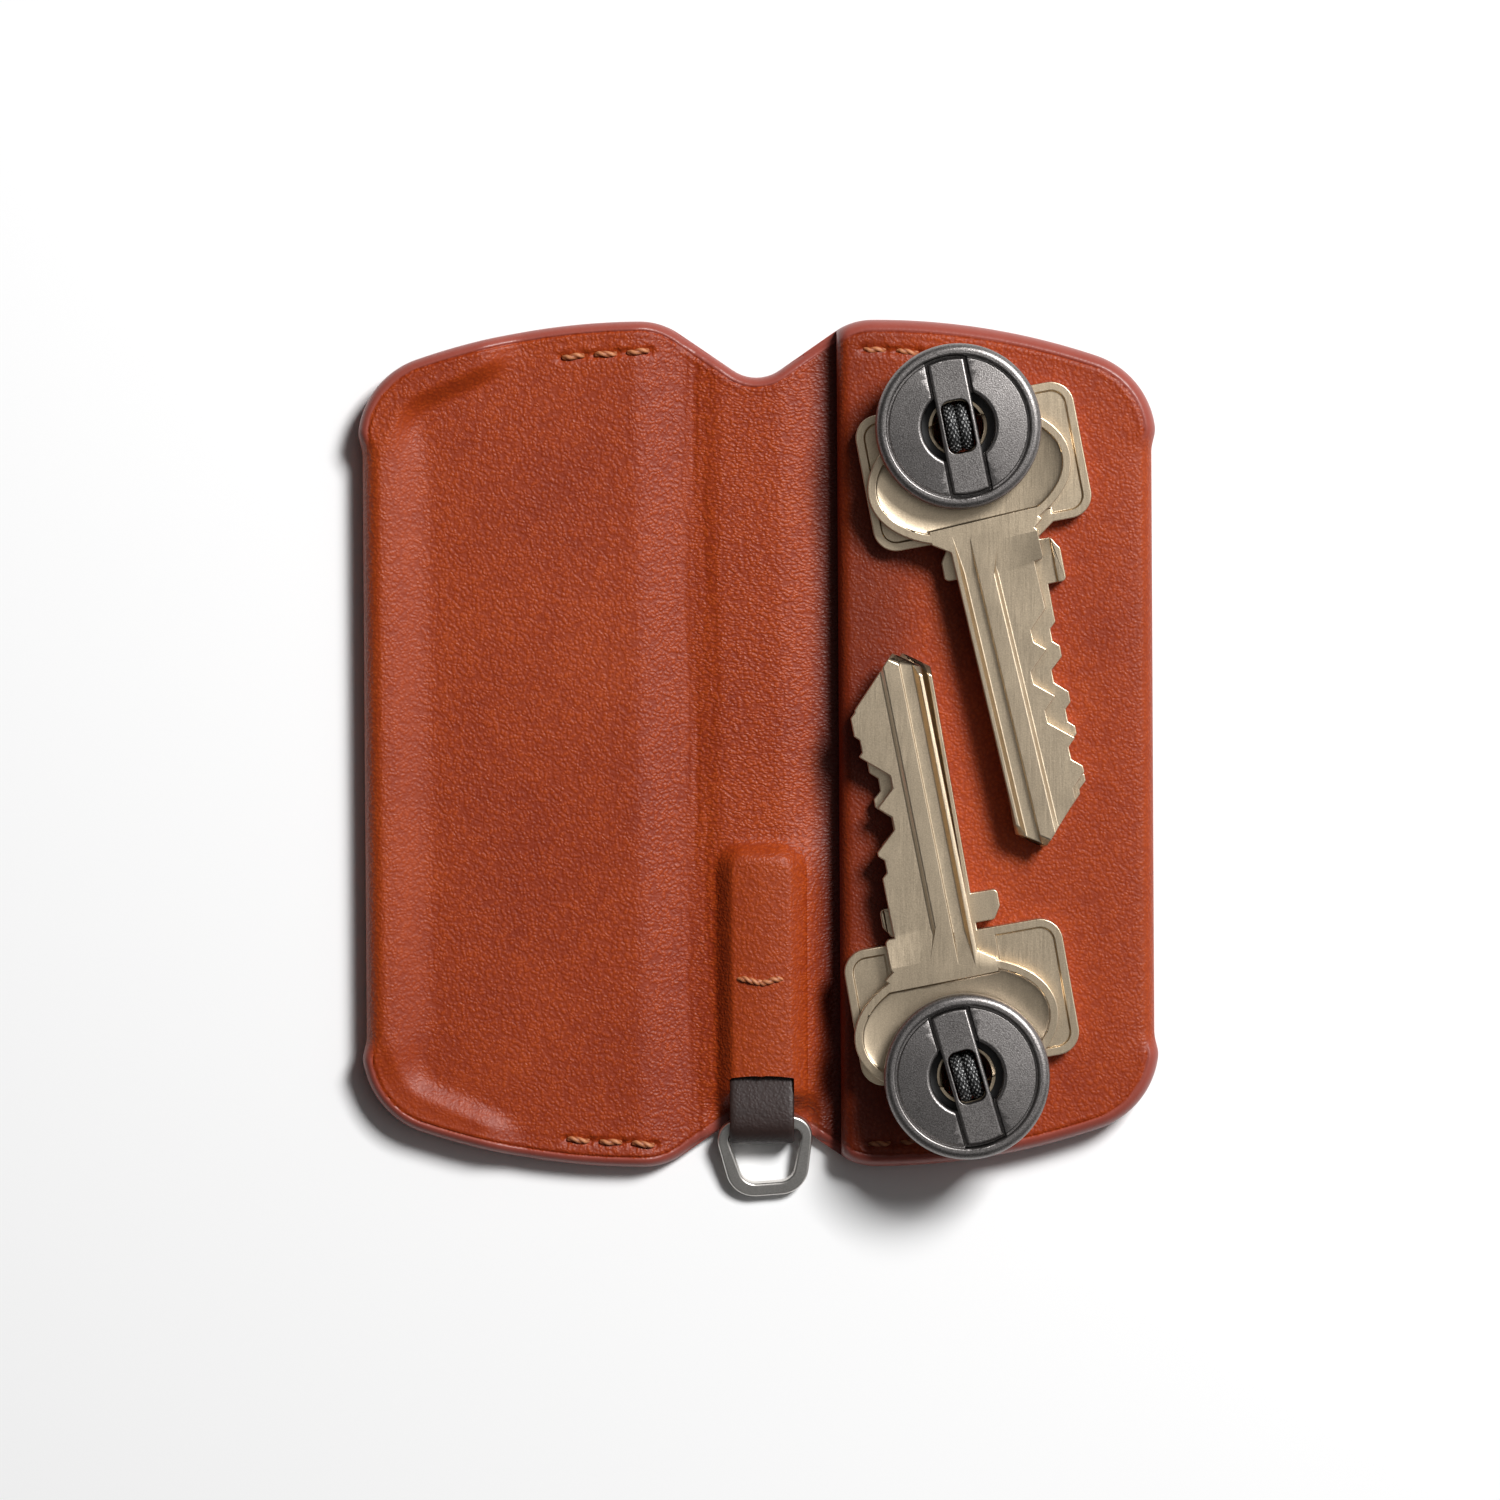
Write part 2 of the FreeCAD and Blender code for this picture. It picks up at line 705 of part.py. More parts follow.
def oval_dish():
    """Coin-shaped hollow of an oval bow: steep at its rim and nearly flat in the middle."""
    dish = Part.makeSphere(1)
    shape = FreeCAD.Matrix()
    shape.scale(oval_half_length - bow_rim, oval_half_width - bow_rim, bow_dish)
    dish = dish.transformGeometry(shape)
    dish.translate(Vector(oval_u, 0, 0))
    return dish


def blade_plate(stops):
    """Blade and collar of the blank, with the shoulder stop or stops of its kind."""
    blade = polygon(
        [
            (collar_u, blade_back_v),
            (key_tip_u - tip_back_run, blade_back_v),
            (key_tip_u, tip_peak_v),
            (key_tip_u - tip_bit_run, blade_bit_v),
            (collar_u, blade_bit_v),
        ]
    )
    collar_end = collar_u + collar_length
    collar = polygon(
        [
            (collar_u, collar_back_v + collar_corner),
            (collar_u + collar_corner, collar_back_v),
            (collar_end, collar_back_v),
            (collar_end + collar_corner, blade_back_v),
            (collar_end + collar_corner, blade_bit_v),
            (collar_end, collar_bit_v),
            (collar_u + collar_corner, collar_bit_v),
            (collar_u, collar_bit_v - collar_corner),
        ]
    )
    plate = prism(blade, 0, key_thickness)
    tip_u = key_tip_u - tip_back_run - touch
    tip = [edge for edge in edges_at(plate, key_thickness) if edge.BoundBox.XMin > tip_u]
    plate = plate.makeChamfer(tip_chamfer, tip).fuse(prism(collar, 0, key_thickness))
    for u, length, v in stops:
        plate = plate.fuse(stop_lug(u, length, v))
    return plate


def stop_lug(u, length, v):
    """Lug beside the blade that stops the key in its lock, with a slanted rear corner."""
    rear_v = v - math.copysign(stop_slant, v)
    corners = [(u, 0), (u, rear_v), (u + stop_slant_run, v), (u + length, v), (u + length, 0)]
    lug = prism(polygon(corners), 0, key_thickness)
    outer = [edge for edge in upright_edges(lug) if abs(edge.CenterOfMass.y) > touch]
    return lug.makeFillet(stop_round, outer)


def bit_cuts(depth_shares):
    """The V-shaped cuts in the bitted edge."""
    cuts = []
    width = blade_bit_v - blade_back_v
    lean = math.tan(math.radians(90 - cut_flank_degrees))
    for number, share in enumerate(depth_shares):
        middle = cut_first_u + number * cut_pitch
        root_v = blade_bit_v - share * width
        rim_v = blade_bit_v + overrun
        spread = cut_root / 2 + (rim_v - root_v) * lean
        notch = polygon(
            [
                (middle - cut_root / 2, root_v),
                (middle + cut_root / 2, root_v),
                (middle + spread, rim_v),
                (middle - spread, rim_v),
            ]
        )
        cuts.append(prism(notch, -overrun, key_thickness + overrun))
    return cuts


def long_cut(section, root_u, depth):
    """Groove milled along the blade to a section, with a ramp at its root where the cutter ran in."""
    end = key_tip_u + overrun
    top = key_thickness
    corners = [Vector(root_u, v, z) for v, z in section]
    groove = Part.Face(Part.makePolygon(corners + corners[:1])).extrude(Vector(end - root_u, 0, 0))
    ramp = polygon_xz(
        [
            (root_u, top),
            (root_u + groove_ramp, top - depth),
            (end, top - depth),
            (end, top + overrun),
            (root_u, top + overrun),
        ]
    )
    room = Part.Face(ramp).extrude(Vector(0, half_width, 0))
    room.translate(Vector(0, -half_width / 2, 0))
    return groove.common(room)


def grooves():
    """The blade's long grooves: two above, beside a ridge that is wider at its root, and one below."""
    top = key_thickness
    above = top + overrun
    end = key_tip_u + overrun
    ridge_v = back_groove_v + back_groove_width
    bit_v = blade_bit_v + overrun
    back = [
        (back_groove_v, above),
        (back_groove_v, top),
        (back_groove_v + back_wall_run, top - back_groove_depth),
        (ridge_v, top - back_groove_depth),
        (ridge_v, above),
    ]
    side = [
        (bit_groove_v, above),
        (bit_groove_v, top),
        (bit_groove_v + bit_wall_run, top - bit_groove_depth),
        (bit_v, top - bit_groove_depth),
        (bit_v, above),
    ]
    beside_ridge = polygon(
        [
            (bit_groove_root_u, ridge_flare_v),
            (bit_groove_root_u + ridge_flare_length, bit_groove_v),
            (end, bit_groove_v),
            (end, bit_v),
            (bit_groove_root_u, bit_v),
        ]
    )
    back_cut = long_cut(back, back_groove_root_u, back_groove_depth)
    side_cut = long_cut(side, bit_groove_root_u, bit_groove_depth)
    side_cut = side_cut.common(prism(beside_ridge, 0, above))
    under = block(bit_groove_root_u, end, ridge_v, bit_groove_v, -overrun, under_groove_depth)
    return [back_cut, side_cut, under]


def key_piece(post, depth_shares, degrees, place, bow, blade, blade_v, hollow, hole_radius):
    """A key at its place on a post. Its blade lies blade_v off the middle, and its bow is hollowed twice."""
    blade.translate(Vector(0, blade_v, 0))
    key = blade.fuse(bow).fuse(drum(0, 0, bow_boss_radius, 0, key_thickness)).removeSplitter()
    for cut in grooves() + bit_cuts(depth_shares):
        cut.translate(Vector(0, blade_v, 0))
        key = key.cut(cut)
    collar = block(collar_u, key_tip_u, collar_back_v, collar_bit_v, -key_thickness, key_thickness)
    collar.translate(Vector(0, blade_v, 0))
    field = hollow.cut(collar)
    for level in (0, key_thickness):
        sunk = field.copy()
        sunk.translate(Vector(0, 0, level))
        key = key.cut(sunk)
    key = key.cut(drum(0, 0, hole_radius, -overrun, key_thickness + overrun))
    key.rotate(Vector(), Vector(0, 0, 1), degrees)
    x, y, _ = POSTS[post]
    key.translate(Vector(x, y, 0) + place)
    return key


def upper_key(post, depth_shares, degrees):
    blade = blade_plate(upper_stops)
    bow = oval_plate()
    place = Vector(0, 0, upper_key_z)
    return key_piece(post, depth_shares, degrees, place, bow, blade, 0, oval_dish(), upper_key_hole_radius)


def lower_key(post, depth_shares, degrees, rear_u, front_u, stops):
    blade = blade_plate(stops)
    bow = square_bow(rear_u, front_u)
    half = square_half_width - bow_rim
    hollow = block(rear_u + bow_rim, front_u - bow_rim, -half, half, -bow_recess, bow_recess)
    hollow = hollow.makeFillet(square_corner_radius - bow_rim, upright_edges(hollow))
    place = Vector(lower_key_slack_x, 0, lower_key_z)
    return key_piece(
        post, depth_shares, degrees, place, bow, blade, lower_blade_v, hollow, lower_key_hole_radius
    )


def all_pieces():
    pieces = {}
    pieces.update(cover_pieces())
    pieces.update(spine_pieces())
    pieces.update(panel_pieces())
    pieces["d_ring"] = ring_piece()
    for post in POSTS:
        pieces[post + "_cord"] = on_post(cord_piece(), post)
        pieces[post + "_lock_disc"] = on_post(disc_piece(), post)
        pieces[post + "_toggle"] = on_post(toggle_piece(), post)
    pieces["top_upper_key"] = upper_key("top", top_upper_depth_shares, top_upper_key_degrees)
    pieces["bottom_upper_key"] = upper_key("bottom", bottom_upper_depth_shares, bottom_upper_key_degrees)
    pieces["top_lower_key"] = lower_key(
        "top",
        top_lower_depth_shares,
        top_lower_key_degrees,
        top_square_rear_u,
        top_square_front_u,
        top_lower_stops,
    )
    pieces["bottom_lower_key"] = lower_key(
        "bottom",
        bottom_lower_depth_shares,
        bottom_lower_key_degrees,
        bottom_square_rear_u,
        bottom_square_front_u,
        bottom_lower_stops,
    )
    return pieces


os.makedirs("parts", exist_ok=True)
for name, shape in all_pieces().items():
    shape.exportStep("parts/" + name + ".step")
    print(name, len(shape.Solids), round(shape.Volume, 2), shape.isValid())
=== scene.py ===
import math

import bpy
import numpy as np
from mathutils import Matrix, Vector
from mathutils.kdtree import KDTree


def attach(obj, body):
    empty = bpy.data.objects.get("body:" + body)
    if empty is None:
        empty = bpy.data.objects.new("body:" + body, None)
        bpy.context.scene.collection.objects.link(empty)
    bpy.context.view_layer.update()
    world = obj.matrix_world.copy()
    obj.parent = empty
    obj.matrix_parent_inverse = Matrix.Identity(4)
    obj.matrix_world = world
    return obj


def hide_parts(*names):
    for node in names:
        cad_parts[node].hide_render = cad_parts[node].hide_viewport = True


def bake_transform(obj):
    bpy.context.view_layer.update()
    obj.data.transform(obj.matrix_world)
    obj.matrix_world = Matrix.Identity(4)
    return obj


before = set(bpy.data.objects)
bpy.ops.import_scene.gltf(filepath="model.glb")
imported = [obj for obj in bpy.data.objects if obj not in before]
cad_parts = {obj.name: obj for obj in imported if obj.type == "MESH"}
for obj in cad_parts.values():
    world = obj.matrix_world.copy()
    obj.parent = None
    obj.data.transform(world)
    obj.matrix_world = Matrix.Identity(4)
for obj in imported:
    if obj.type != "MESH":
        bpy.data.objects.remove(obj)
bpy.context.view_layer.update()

# Outer leather
# Waxed cowhide with a fine pebbled grain, cut to the outline of the open case in two halves that meet on the
# spine. The top, bottom and corner edges are cut, rounded and painted. The straight sides are turned in.
MM = 0.001
half_width = 41.2
straight_half = 31.4
corner_radius = 9.0
crest_x = 12.0
crest_y = 43.75
shoulder_radius = 7.0
flank = math.radians(34.5)
notch_radius = 4.2
side_inset = 0.45
skin = 1.2
bead = 0.95
cover_fold_x = -6.6
panel_fold_x = 6.0
fold_from_y, fold_to_y = 30.0, 32.6
corner_from_x = 35.0
hidden_round = (0.15, 0.12)
smooth_angle = math.radians(50)
hide_colours = (0.2, 0.018, 0.002, 1), (0.3, 0.036, 0.003, 1), (0.42, 0.064, 0.008, 1)
pulled_colour = (0.36, 0.06, 0.008, 1)
# Painted shade: the deep brown that darkens the leather where shadow falls beside the panel and under the
# keys.
painted_shade_colour = (0.08, 0.006, 0.001, 1)
paint_colours = (0.24, 0.045, 0.031, 1), (0.33, 0.08, 0.057, 1)
paint_roughness = 0.33


def smooth(low, high, value):
    """0 before low, 1 after high and a soft rise between them."""
    share = np.clip((value - low) / (high - low), 0, 1)
    return share * share * (3 - 2 * share)


def edge_y(x):
    """Half length of the open case at a distance x from the middle of the spine."""
    x = np.abs(np.asarray(x, float))
    flank_x = crest_x - shoulder_radius * math.sin(flank)
    flank_y = crest_y - shoulder_radius * (1 - math.cos(flank))
    foot_y = flank_y - flank_x * math.tan(flank)
    notch_y = foot_y + notch_radius / math.cos(flank)
    run = half_width - corner_radius - crest_x
    drop = crest_y - straight_half
    top_radius = (run**2 + drop**2 - corner_radius**2) / (2 * (drop - corner_radius))
    meet_x = crest_x + top_radius * math.sin(math.atan2(run, top_radius - drop))

    def arc(radius, centre):
        return np.sqrt(np.clip(radius**2 - (x - centre) ** 2, 0, None))

    return np.select(
        [x < notch_radius * math.sin(flank), x < flank_x, x < crest_x, x < meet_x],
        [
            notch_y - arc(notch_radius, 0),
            foot_y + x * math.tan(flank),
            crest_y - shoulder_radius + arc(shoulder_radius, crest_x),
            crest_y - top_radius + arc(top_radius, crest_x),
        ],
        straight_half + arc(corner_radius, half_width - corner_radius),
    )


def spread(*stops):
    """Places from the first stop to the last. Each stop is a place and the widest step after it."""
    places = [stops[0][0]]
    for (start, step), (end, _) in zip(stops, stops[1:]):
        count = max(1, math.ceil(abs(end - start) / step))
        places += [start + (end - start) * n / count for n in range(1, count + 1)]
    return np.array(places)


corner_turn = np.radians(spread((17, 2.5), (90, 0)))
corner_columns = half_width - corner_radius + corner_radius * np.sin(corner_turn)
corner_columns = corner_columns[corner_columns > corner_from_x + 0.02]


def turned_in(x, y):
    """Draws the straight sides in, where the leather is folded and not cut."""
    share = 1 - smooth(fold_from_y, fold_to_y, np.abs(y))
    near = np.clip(1 - (half_width - np.abs(x)) / 4, 0, 1)
    return x - np.sign(x) * side_inset * share * near


def outline_points():
    """The outline of the open case as points in order, close enough together to measure from."""
    half = np.concatenate([spread((0, 0.05), (corner_from_x, 0)), corner_columns])
    side_y = spread((straight_half - 0.01, 0.05), (-straight_half, 0))
    upper = np.column_stack([half, edge_y(half)])
    side = np.column_stack([np.full(len(side_y), half_width), side_y])
    lower = upper[::-1] * (1, -1)
    right = np.concatenate([upper, side, lower[1:]])
    left = right[::-1][1:-1] * (-1, 1)
    loop = np.concatenate([right, left])
    loop[:, 0] = turned_in(loop[:, 0], loop[:, 1])
    return loop


outline = outline_points()
outline_tree = KDTree(len(outline))
for number, (x, y) in enumerate(outline):
    outline_tree.insert((x, y, 0), number)
outline_tree.balance()


def edge_distance(x, y):
    """How far each point lies inside the outline of the case."""
    nearest = np.array([outline_tree.find((a, b, 0))[1] for a, b in zip(x, y)])
    here = np.column_stack([x, y])
    best = np.full(len(here), 1e9)
    for step in (-1, 0):
        start = outline[(nearest + step) % len(outline)]
        along = outline[(nearest + step + 1) % len(outline)] - start
        length = np.maximum((along**2).sum(1), 1e-12)
        share = np.clip(((here - start) * along).sum(1) / length, 0, 1)
        best = np.minimum(best, np.linalg.norm(here - start - along * share[:, None], axis=1))
    return best


def take_up(piece):
    """Makes a piece the one that is worked on."""
    bpy.ops.object.select_all(action="DESELECT")
    piece.select_set(True)
    bpy.context.view_layer.objects.active = piece


def points(piece):
    """A piece's points in millimetres."""
    flat = np.empty(len(piece.data.vertices) * 3)
    piece.data.vertices.foreach_get("co", flat)
    return flat.reshape(-1, 3) / MM


def move_points(piece, places):
    """Sets a piece's points, given in millimetres."""
    piece.data.vertices.foreach_set("co", (np.asarray(places) * MM).ravel())
    piece.data.update()


def paint_points(piece, name, values):
    """Keeps a value for every point of a piece, for its material to read."""
    layer = piece.data.attributes.new(name, "FLOAT", "POINT")
    layer.data.foreach_set("value", np.asarray(values, np.float32))


end_steps = np.array(
    [0, 0.03, 0.08, 0.16, 0.26, 0.38, 0.52, 0.66, 0.8, 0.9, 0.97, 1.04, 1.11, 1.2, 1.35, 1.55]
    + list(np.arange(1.8, 5.3, 0.25))
    + [5.6, 6.0]
)


def cut_sheet(name, columns, middle_rows):
    """Flat sheet cut to the outline, with close rows along both ends."""
    rows = len(end_steps) * 2 + middle_rows
    bpy.ops.object.select_all(action="DESELECT")
    bpy.ops.mesh.primitive_grid_add(x_subdivisions=len(columns) - 1, y_subdivisions=rows - 1, size=2)
    piece = bpy.context.object
    piece.name = name
    piece.data.name = name
    grid = points(piece) * MM
    column = np.rint((grid[:, 0] + 1) / 2 * (len(columns) - 1)).astype(int)
    row = np.rint((grid[:, 1] + 1) / 2 * (rows - 1)).astype(int)
    x = np.asarray(columns)[column]
    end = edge_y(x)
    share = (row - len(end_steps) + 1) / (middle_rows + 1) * 2 - 1
    y = share * (end - end_steps[-1])
    low = row < len(end_steps)
    high = row >= rows - len(end_steps)
    y[low] = end_steps[row[low]] - end[low]
    y[high] = end[high] - end_steps[rows - 1 - row[high]]
    move_points(piece, np.column_stack([turned_in(x, y), y, np.zeros(len(x))]))
    return piece


def build_up(piece, top, under):
    """Gives a sheet its thickness: top and under are the heights of its faces at each of its points."""
    take_up(piece)
    wall = piece.modifiers.new("wall", "SOLIDIFY")
    wall.thickness = MM
    wall.offset = -1
    bpy.ops.object.modifier_apply(modifier="wall")
    places = points(piece)
    count = len(places) // 2
    places[count:, :2] = places[:count, :2]
    places[:count, 2] = top
    places[count:, 2] = under
    move_points(piece, places)
    bpy.ops.object.shade_smooth_by_angle(angle=smooth_angle)


def ridge(value, middle, width):
    """1 at the middle, falling away softly on both sides of it."""
    return np.exp(-(((value - middle) / width) ** 2))


def quarter_round(distance, width, drop):
    """How far an edge falls away at a distance from it, as a rounded edge of that width and drop."""
    share = np.clip(1 - distance / width, 0, 1)
    return drop * (1 - np.sqrt(1 - share**2))


def folded(x, y):
    """1 along the turned-in straight sides, 0 along the cut edges."""
    near_side = smooth(half_width - 6, half_width - 4, np.abs(x))
    return (1 - smooth(fold_from_y, fold_to_y, np.abs(y))) * near_side


def paint_cover(x, y, distance, width=bead):
    """Where the edge paint lies: on the rounded cut edge, up to a slightly uneven line in the leather."""
    uneven = 0.04 * np.sin((x + y) * 1.9) + 0.03 * np.sin((x - y) * 4.3)
    return (1 - smooth(width - 0.04, width + 0.1, distance + uneven)) * (1 - folded(x, y))


def mark_leather(piece, grained, painted=0, creased=0, pulled=0, painted_shade=0):
    """Notes how the leather is worked and where shade is painted on it, at every point, for its material. A
    sheet's two faces are alike.
    """
    marks = {
        "painted": painted,
        "creased": creased,
        "pulled": pulled,
        "grained": grained,
        "painted_shade": painted_shade,
    }
    for name, values in marks.items():
        paint_points(piece, name, np.resize(values, len(piece.data.vertices)))


def new_group(name, inputs, outputs):
    """An empty node group with its sockets."""
    group = bpy.data.node_groups.new(name, "ShaderNodeTree")
    for label, kind in inputs:
        group.interface.new_socket(label, in_out="INPUT", socket_type=kind)
    for label, kind in outputs:
        group.interface.new_socket(label, in_out="OUTPUT", socket_type=kind)
    return group


class Bench:
    """Adds nodes to a tree. A socket is filled with a value or joined to another node's socket."""

    def __init__(self, tree):
        self.tree = tree

    def fill(self, node, sockets):
        for key, value in sockets.items():
            if isinstance(value, bpy.types.NodeSocket):
                self.tree.links.new(value, node.inputs[key])
            else:
                node.inputs[key].default_value = value

    def add(self, kind, sockets=None, **settings):
        node = self.tree.nodes.new(kind)
        for key, value in settings.items():
            setattr(node, key, value)
        self.fill(node, sockets or {})
        return node

    def maths(self, operation, first, second):
        return self.add("ShaderNodeMath", {0: first, 1: second}, operation=operation).outputs[0]

    def vectors(self, operation, sockets):
        return self.add("ShaderNodeVectorMath", sockets, operation=operation).outputs[0]

    def mix(self, share, first, second):
        sockets = {0: share, 6: first, 7: second}
        return self.add("ShaderNodeMix", sockets, data_type="RGBA").outputs[2]

    def between(self, share, first, second):
        sockets = {0: share, 2: first, 3: second}
        return self.add("ShaderNodeMix", sockets, data_type="FLOAT").outputs[0]

    def ramp(self, value, stops):
        node = self.add("ShaderNodeValToRGB", {"Fac": value})
        while len(node.color_ramp.elements) < len(stops):
            node.color_ramp.elements.new(0.5)
        for element, (place, colour) in zip(node.color_ramp.elements, stops):
            element.position = place
            element.color = colour
        return node.outputs["Color"]

    def noise(self, place, scale, detail, output=0):
        sockets = {"Vector": place, "Scale": scale, "Detail": detail}
        return self.add("ShaderNodeTexNoise", sockets).outputs[output]

    def bump(self, height, strength, distance):
        sockets = {"Height": height, "Strength": strength, "Distance": distance}
        return self.add("ShaderNodeBump", sockets).outputs[0]

    def span(self, value, low, high, to_low=0.0, to_high=1.0):
        sockets = {"Value": value, "From Min": low, "From Max": high, "To Min": to_low, "To Max": to_high}
        return self.add("ShaderNodeMapRange", sockets).outputs[0]


def new_finish(name):
    """An empty material with its shader, and the bench to build it on."""
    finish = bpy.data.materials.new(name)
    finish.use_nodes = True
    shader = finish.node_tree.nodes["Principled BSDF"]
    return finish, Bench(finish.node_tree), shader


def grain_group():
    """Pebbled grain of the hide in millimetres, drawn out into close creases where the leather is bent."""
    group = new_group(
        "hide grain",
        [("Vector", "NodeSocketVector"), ("Creased", "NodeSocketFloat")],
        [("Height", "NodeSocketFloat"), ("Tone", "NodeSocketFloat"), ("Pore", "NodeSocketFloat")],
    )
    bench = Bench(group)
    inputs = bench.add("NodeGroupInput").outputs

    def cells(place, scale, smoothness):
        sockets = {"Vector": place, "Scale": scale, "Smoothness": smoothness, "Randomness": 1.0}
        return bench.add("ShaderNodeTexVoronoi", sockets, feature="SMOOTH_F1").outputs["Distance"]

    place = bench.vectors("SCALE", {0: inputs["Vector"], "Scale": 1000.0})
    drift = bench.noise(place, 1.1, 2.0, output="Color")
    pull = bench.vectors("SCALE", {0: drift, "Scale": 0.55})
    strayed = bench.vectors("ADD", {0: place, 1: pull})
    squeezed = bench.vectors("MULTIPLY", {0: strayed, 1: (0.95, 1.45, 1.0)})
    dome = bench.span(cells(strayed, 2.9, 0.5), 0.0, 0.75, 1.0, 0.0)
    fold = bench.span(cells(squeezed, 2.5, 0.4), 0.0, 0.75, 1.15, 0.0)
    both = bench.between(inputs["Creased"], dome, fold)
    fine = bench.noise(place, 5.2, 3.0)
    broad = bench.noise(place, 0.055, 3.0)
    mottle = bench.noise(place, 0.75, 4.0)
    tone = bench.maths("ADD", bench.maths("MULTIPLY", broad, 0.6), bench.maths("MULTIPLY", mottle, 0.4))
    height = bench.maths("ADD", both, bench.maths("MULTIPLY", fine, 0.55))
    results = {"Height": height, "Tone": tone, "Pore": bench.span(both, 0.15, 0.75)}
    bench.add("NodeGroupOutput", results)
    return group


hide_grain = grain_group()


def leather_finish(name, deep, mid, light, roughness):
    """Waxed leather. The points' own values say where it has edge paint, where it is creased or pulled
    lighter, where painted shade darkens it, and how deep its grain is."""
    finish, bench, shader = new_finish(name)
    place = bench.add("ShaderNodeTexCoord").outputs["Object"]
    creased, painted, pulled, grained, painted_shade = (
        bench.add("ShaderNodeAttribute", attribute_name=mark).outputs["Fac"]
        for mark in ("creased", "painted", "pulled", "grained", "painted_shade")
    )
    sockets = {"Vector": place, "Creased": creased}
    grain = bench.add("ShaderNodeGroup", sockets, node_tree=hide_grain).outputs
    hide = bench.ramp(grain["Tone"], [(0.25, deep), (0.5, mid), (0.85, light)])
    pores = bench.maths("MULTIPLY", bench.span(grain["Pore"], 0.0, 0.6, 0.6, 0.0), grained)
    crowns = bench.maths("MULTIPLY", bench.span(grain["Pore"], 0.5, 1.0, 0.0, 0.55), grained)
    pored = bench.mix(crowns, bench.mix(pores, hide, deep), light)
    drawn = bench.mix(bench.maths("MULTIPLY", pulled, 0.4), pored, pulled_colour)
    # Painted shade: the leather is darkened towards a deep brown where the points call for shade.
    shaded = bench.mix(painted_shade, drawn, painted_shade_colour)
    paint = bench.mix(grain["Tone"], *paint_colours)
    sheen = bench.span(grain["Height"], 0.3, 1.2, roughness + 0.07, roughness - 0.05)
    depth = bench.maths("MULTIPLY", bench.span(painted, 0, 1, 1.0, 0.2), grained)
    bench.fill(
        shader,
        {
            "Base Color": bench.mix(painted, shaded, paint),
            "Roughness": bench.between(painted, sheen, paint_roughness),
            "Normal": bench.bump(bench.maths("MULTIPLY", grain["Height"], depth), 1.0, 0.00007),
            "Specular IOR Level": 0.3,
        },
    )
    return finish


outer_finish = leather_finish("waxed hide outside", *hide_colours, 0.46)


def add_outer_half(name, side, nodes):
    """One half of the outer leather, from the middle of the spine to one side, creased near its fold."""
    columns = np.concatenate([spread((0, 0.5), (9, 0.7), (corner_from_x, 0)), corner_columns])
    if side < 0:
        columns = -columns[::-1]
    piece = cut_sheet(name, columns, 90)
    place = points(piece)
    x, y = place[:, 0], place[:, 1]
    distance = edge_distance(x, y)
    sides = folded(x, y)
    width = bead + 0.8 * sides
    under = quarter_round(distance, width, skin * 0.85)
    under += 0.06 * ridge(distance, bead + 0.05, 0.1) * (1 - sides)
    build_up(piece, skin - quarter_round(distance, *hidden_round), under)
    near_fold = np.maximum(ridge(x, cover_fold_x, 3), ridge(x, panel_fold_x, 3))
    mark_leather(piece, 0.7, painted=paint_cover(x, y, distance), creased=near_fold * 0.7)
    piece.data.materials.append(outer_finish)
    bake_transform(piece)
    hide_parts(*nodes)


add_outer_half(
    "outer_leather_cover", -1, ["cover_outer_leather", "spine_outer_leather"]
)
add_outer_half("outer_leather_panel", 1, ["panel_outer_leather"])

# Boards, magnets and anchors
# Fibre boards glued between the leathers stiffen the cover and the panel. Plated magnets in the cover's board
# pull on the discs, and moulded anchors in the panel's board hold the elastic.


def speckled_finish(name, dark, pale, scale, roughness, metallic=0.0):
    """A plain material with fine specks."""
    finish, bench, shader = new_finish(name)
    place = bench.add("ShaderNodeTexCoord").outputs["Object"]
    speck = bench.noise(place, scale, 4.0)
    bench.fill(
        shader,
        {
            "Base Color": bench.ramp(speck, [(0.35, dark), (0.65, pale)]),
            "Roughness": bench.span(speck, 0.3, 0.7, roughness - 0.08, roughness + 0.08),
            "Normal": bench.bump(speck, 0.5, 0.00003),
            "Metallic": metallic,
        },
    )
    return finish


board_finish = speckled_finish("grey board", (0.14, 0.125, 0.1, 1), (0.24, 0.21, 0.17, 1), 1800, 0.8)
magnet_finish = speckled_finish("plated magnet", (0.45, 0.45, 0.46, 1), (0.56, 0.56, 0.55, 1), 900, 0.28, 1.0)
anchor_finish = speckled_finish("moulded anchor", (0.02, 0.02, 0.02, 1), (0.035, 0.035, 0.034, 1), 1400, 0.55)
for node, finish in (
    ("cover_board", board_finish),
    ("panel_board", board_finish),
    ("cover_top_magnet", magnet_finish),
    ("cover_bottom_magnet", magnet_finish),
    ("top_anchor", anchor_finish),
    ("bottom_anchor", anchor_finish),
):
    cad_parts[node].data.materials[0] = finish

# Inner leather of the cover and spine
# One piece of the same hide, glued over the cover's board and moulded to a shallow dish with a raised rim. It
# slopes down to the soft spine, where it is creased, and is moulded up over the strap as a sleeve.
cover_floor = 3.2
rim_rise = 1.3
rim_middle_x = 36.3
rim_turn_y = 34.7
rim_slant = math.radians(23.7)
sleeve_x = 0.1
sleeve_half = 4.2
sleeve_head_y = -10.0
sleeve_mouth_y = -34.5
sleeve_top = 4.2
sleeve_radius = 3.0
sleeve_swell = 1.0
strap_half = 3.25
spine_join_x = 4.9
board_margin = (2.3, 2.85)
cover_board_room = 1.03
strap_room = 1.93
stitch_first_x = 12.2
stitch_pitch = 3.35
stitch_length = 2.4
stitch_slope = math.tan(math.radians(-4))
stitch_rows = ((1, 40.6), (-1, 41.3))

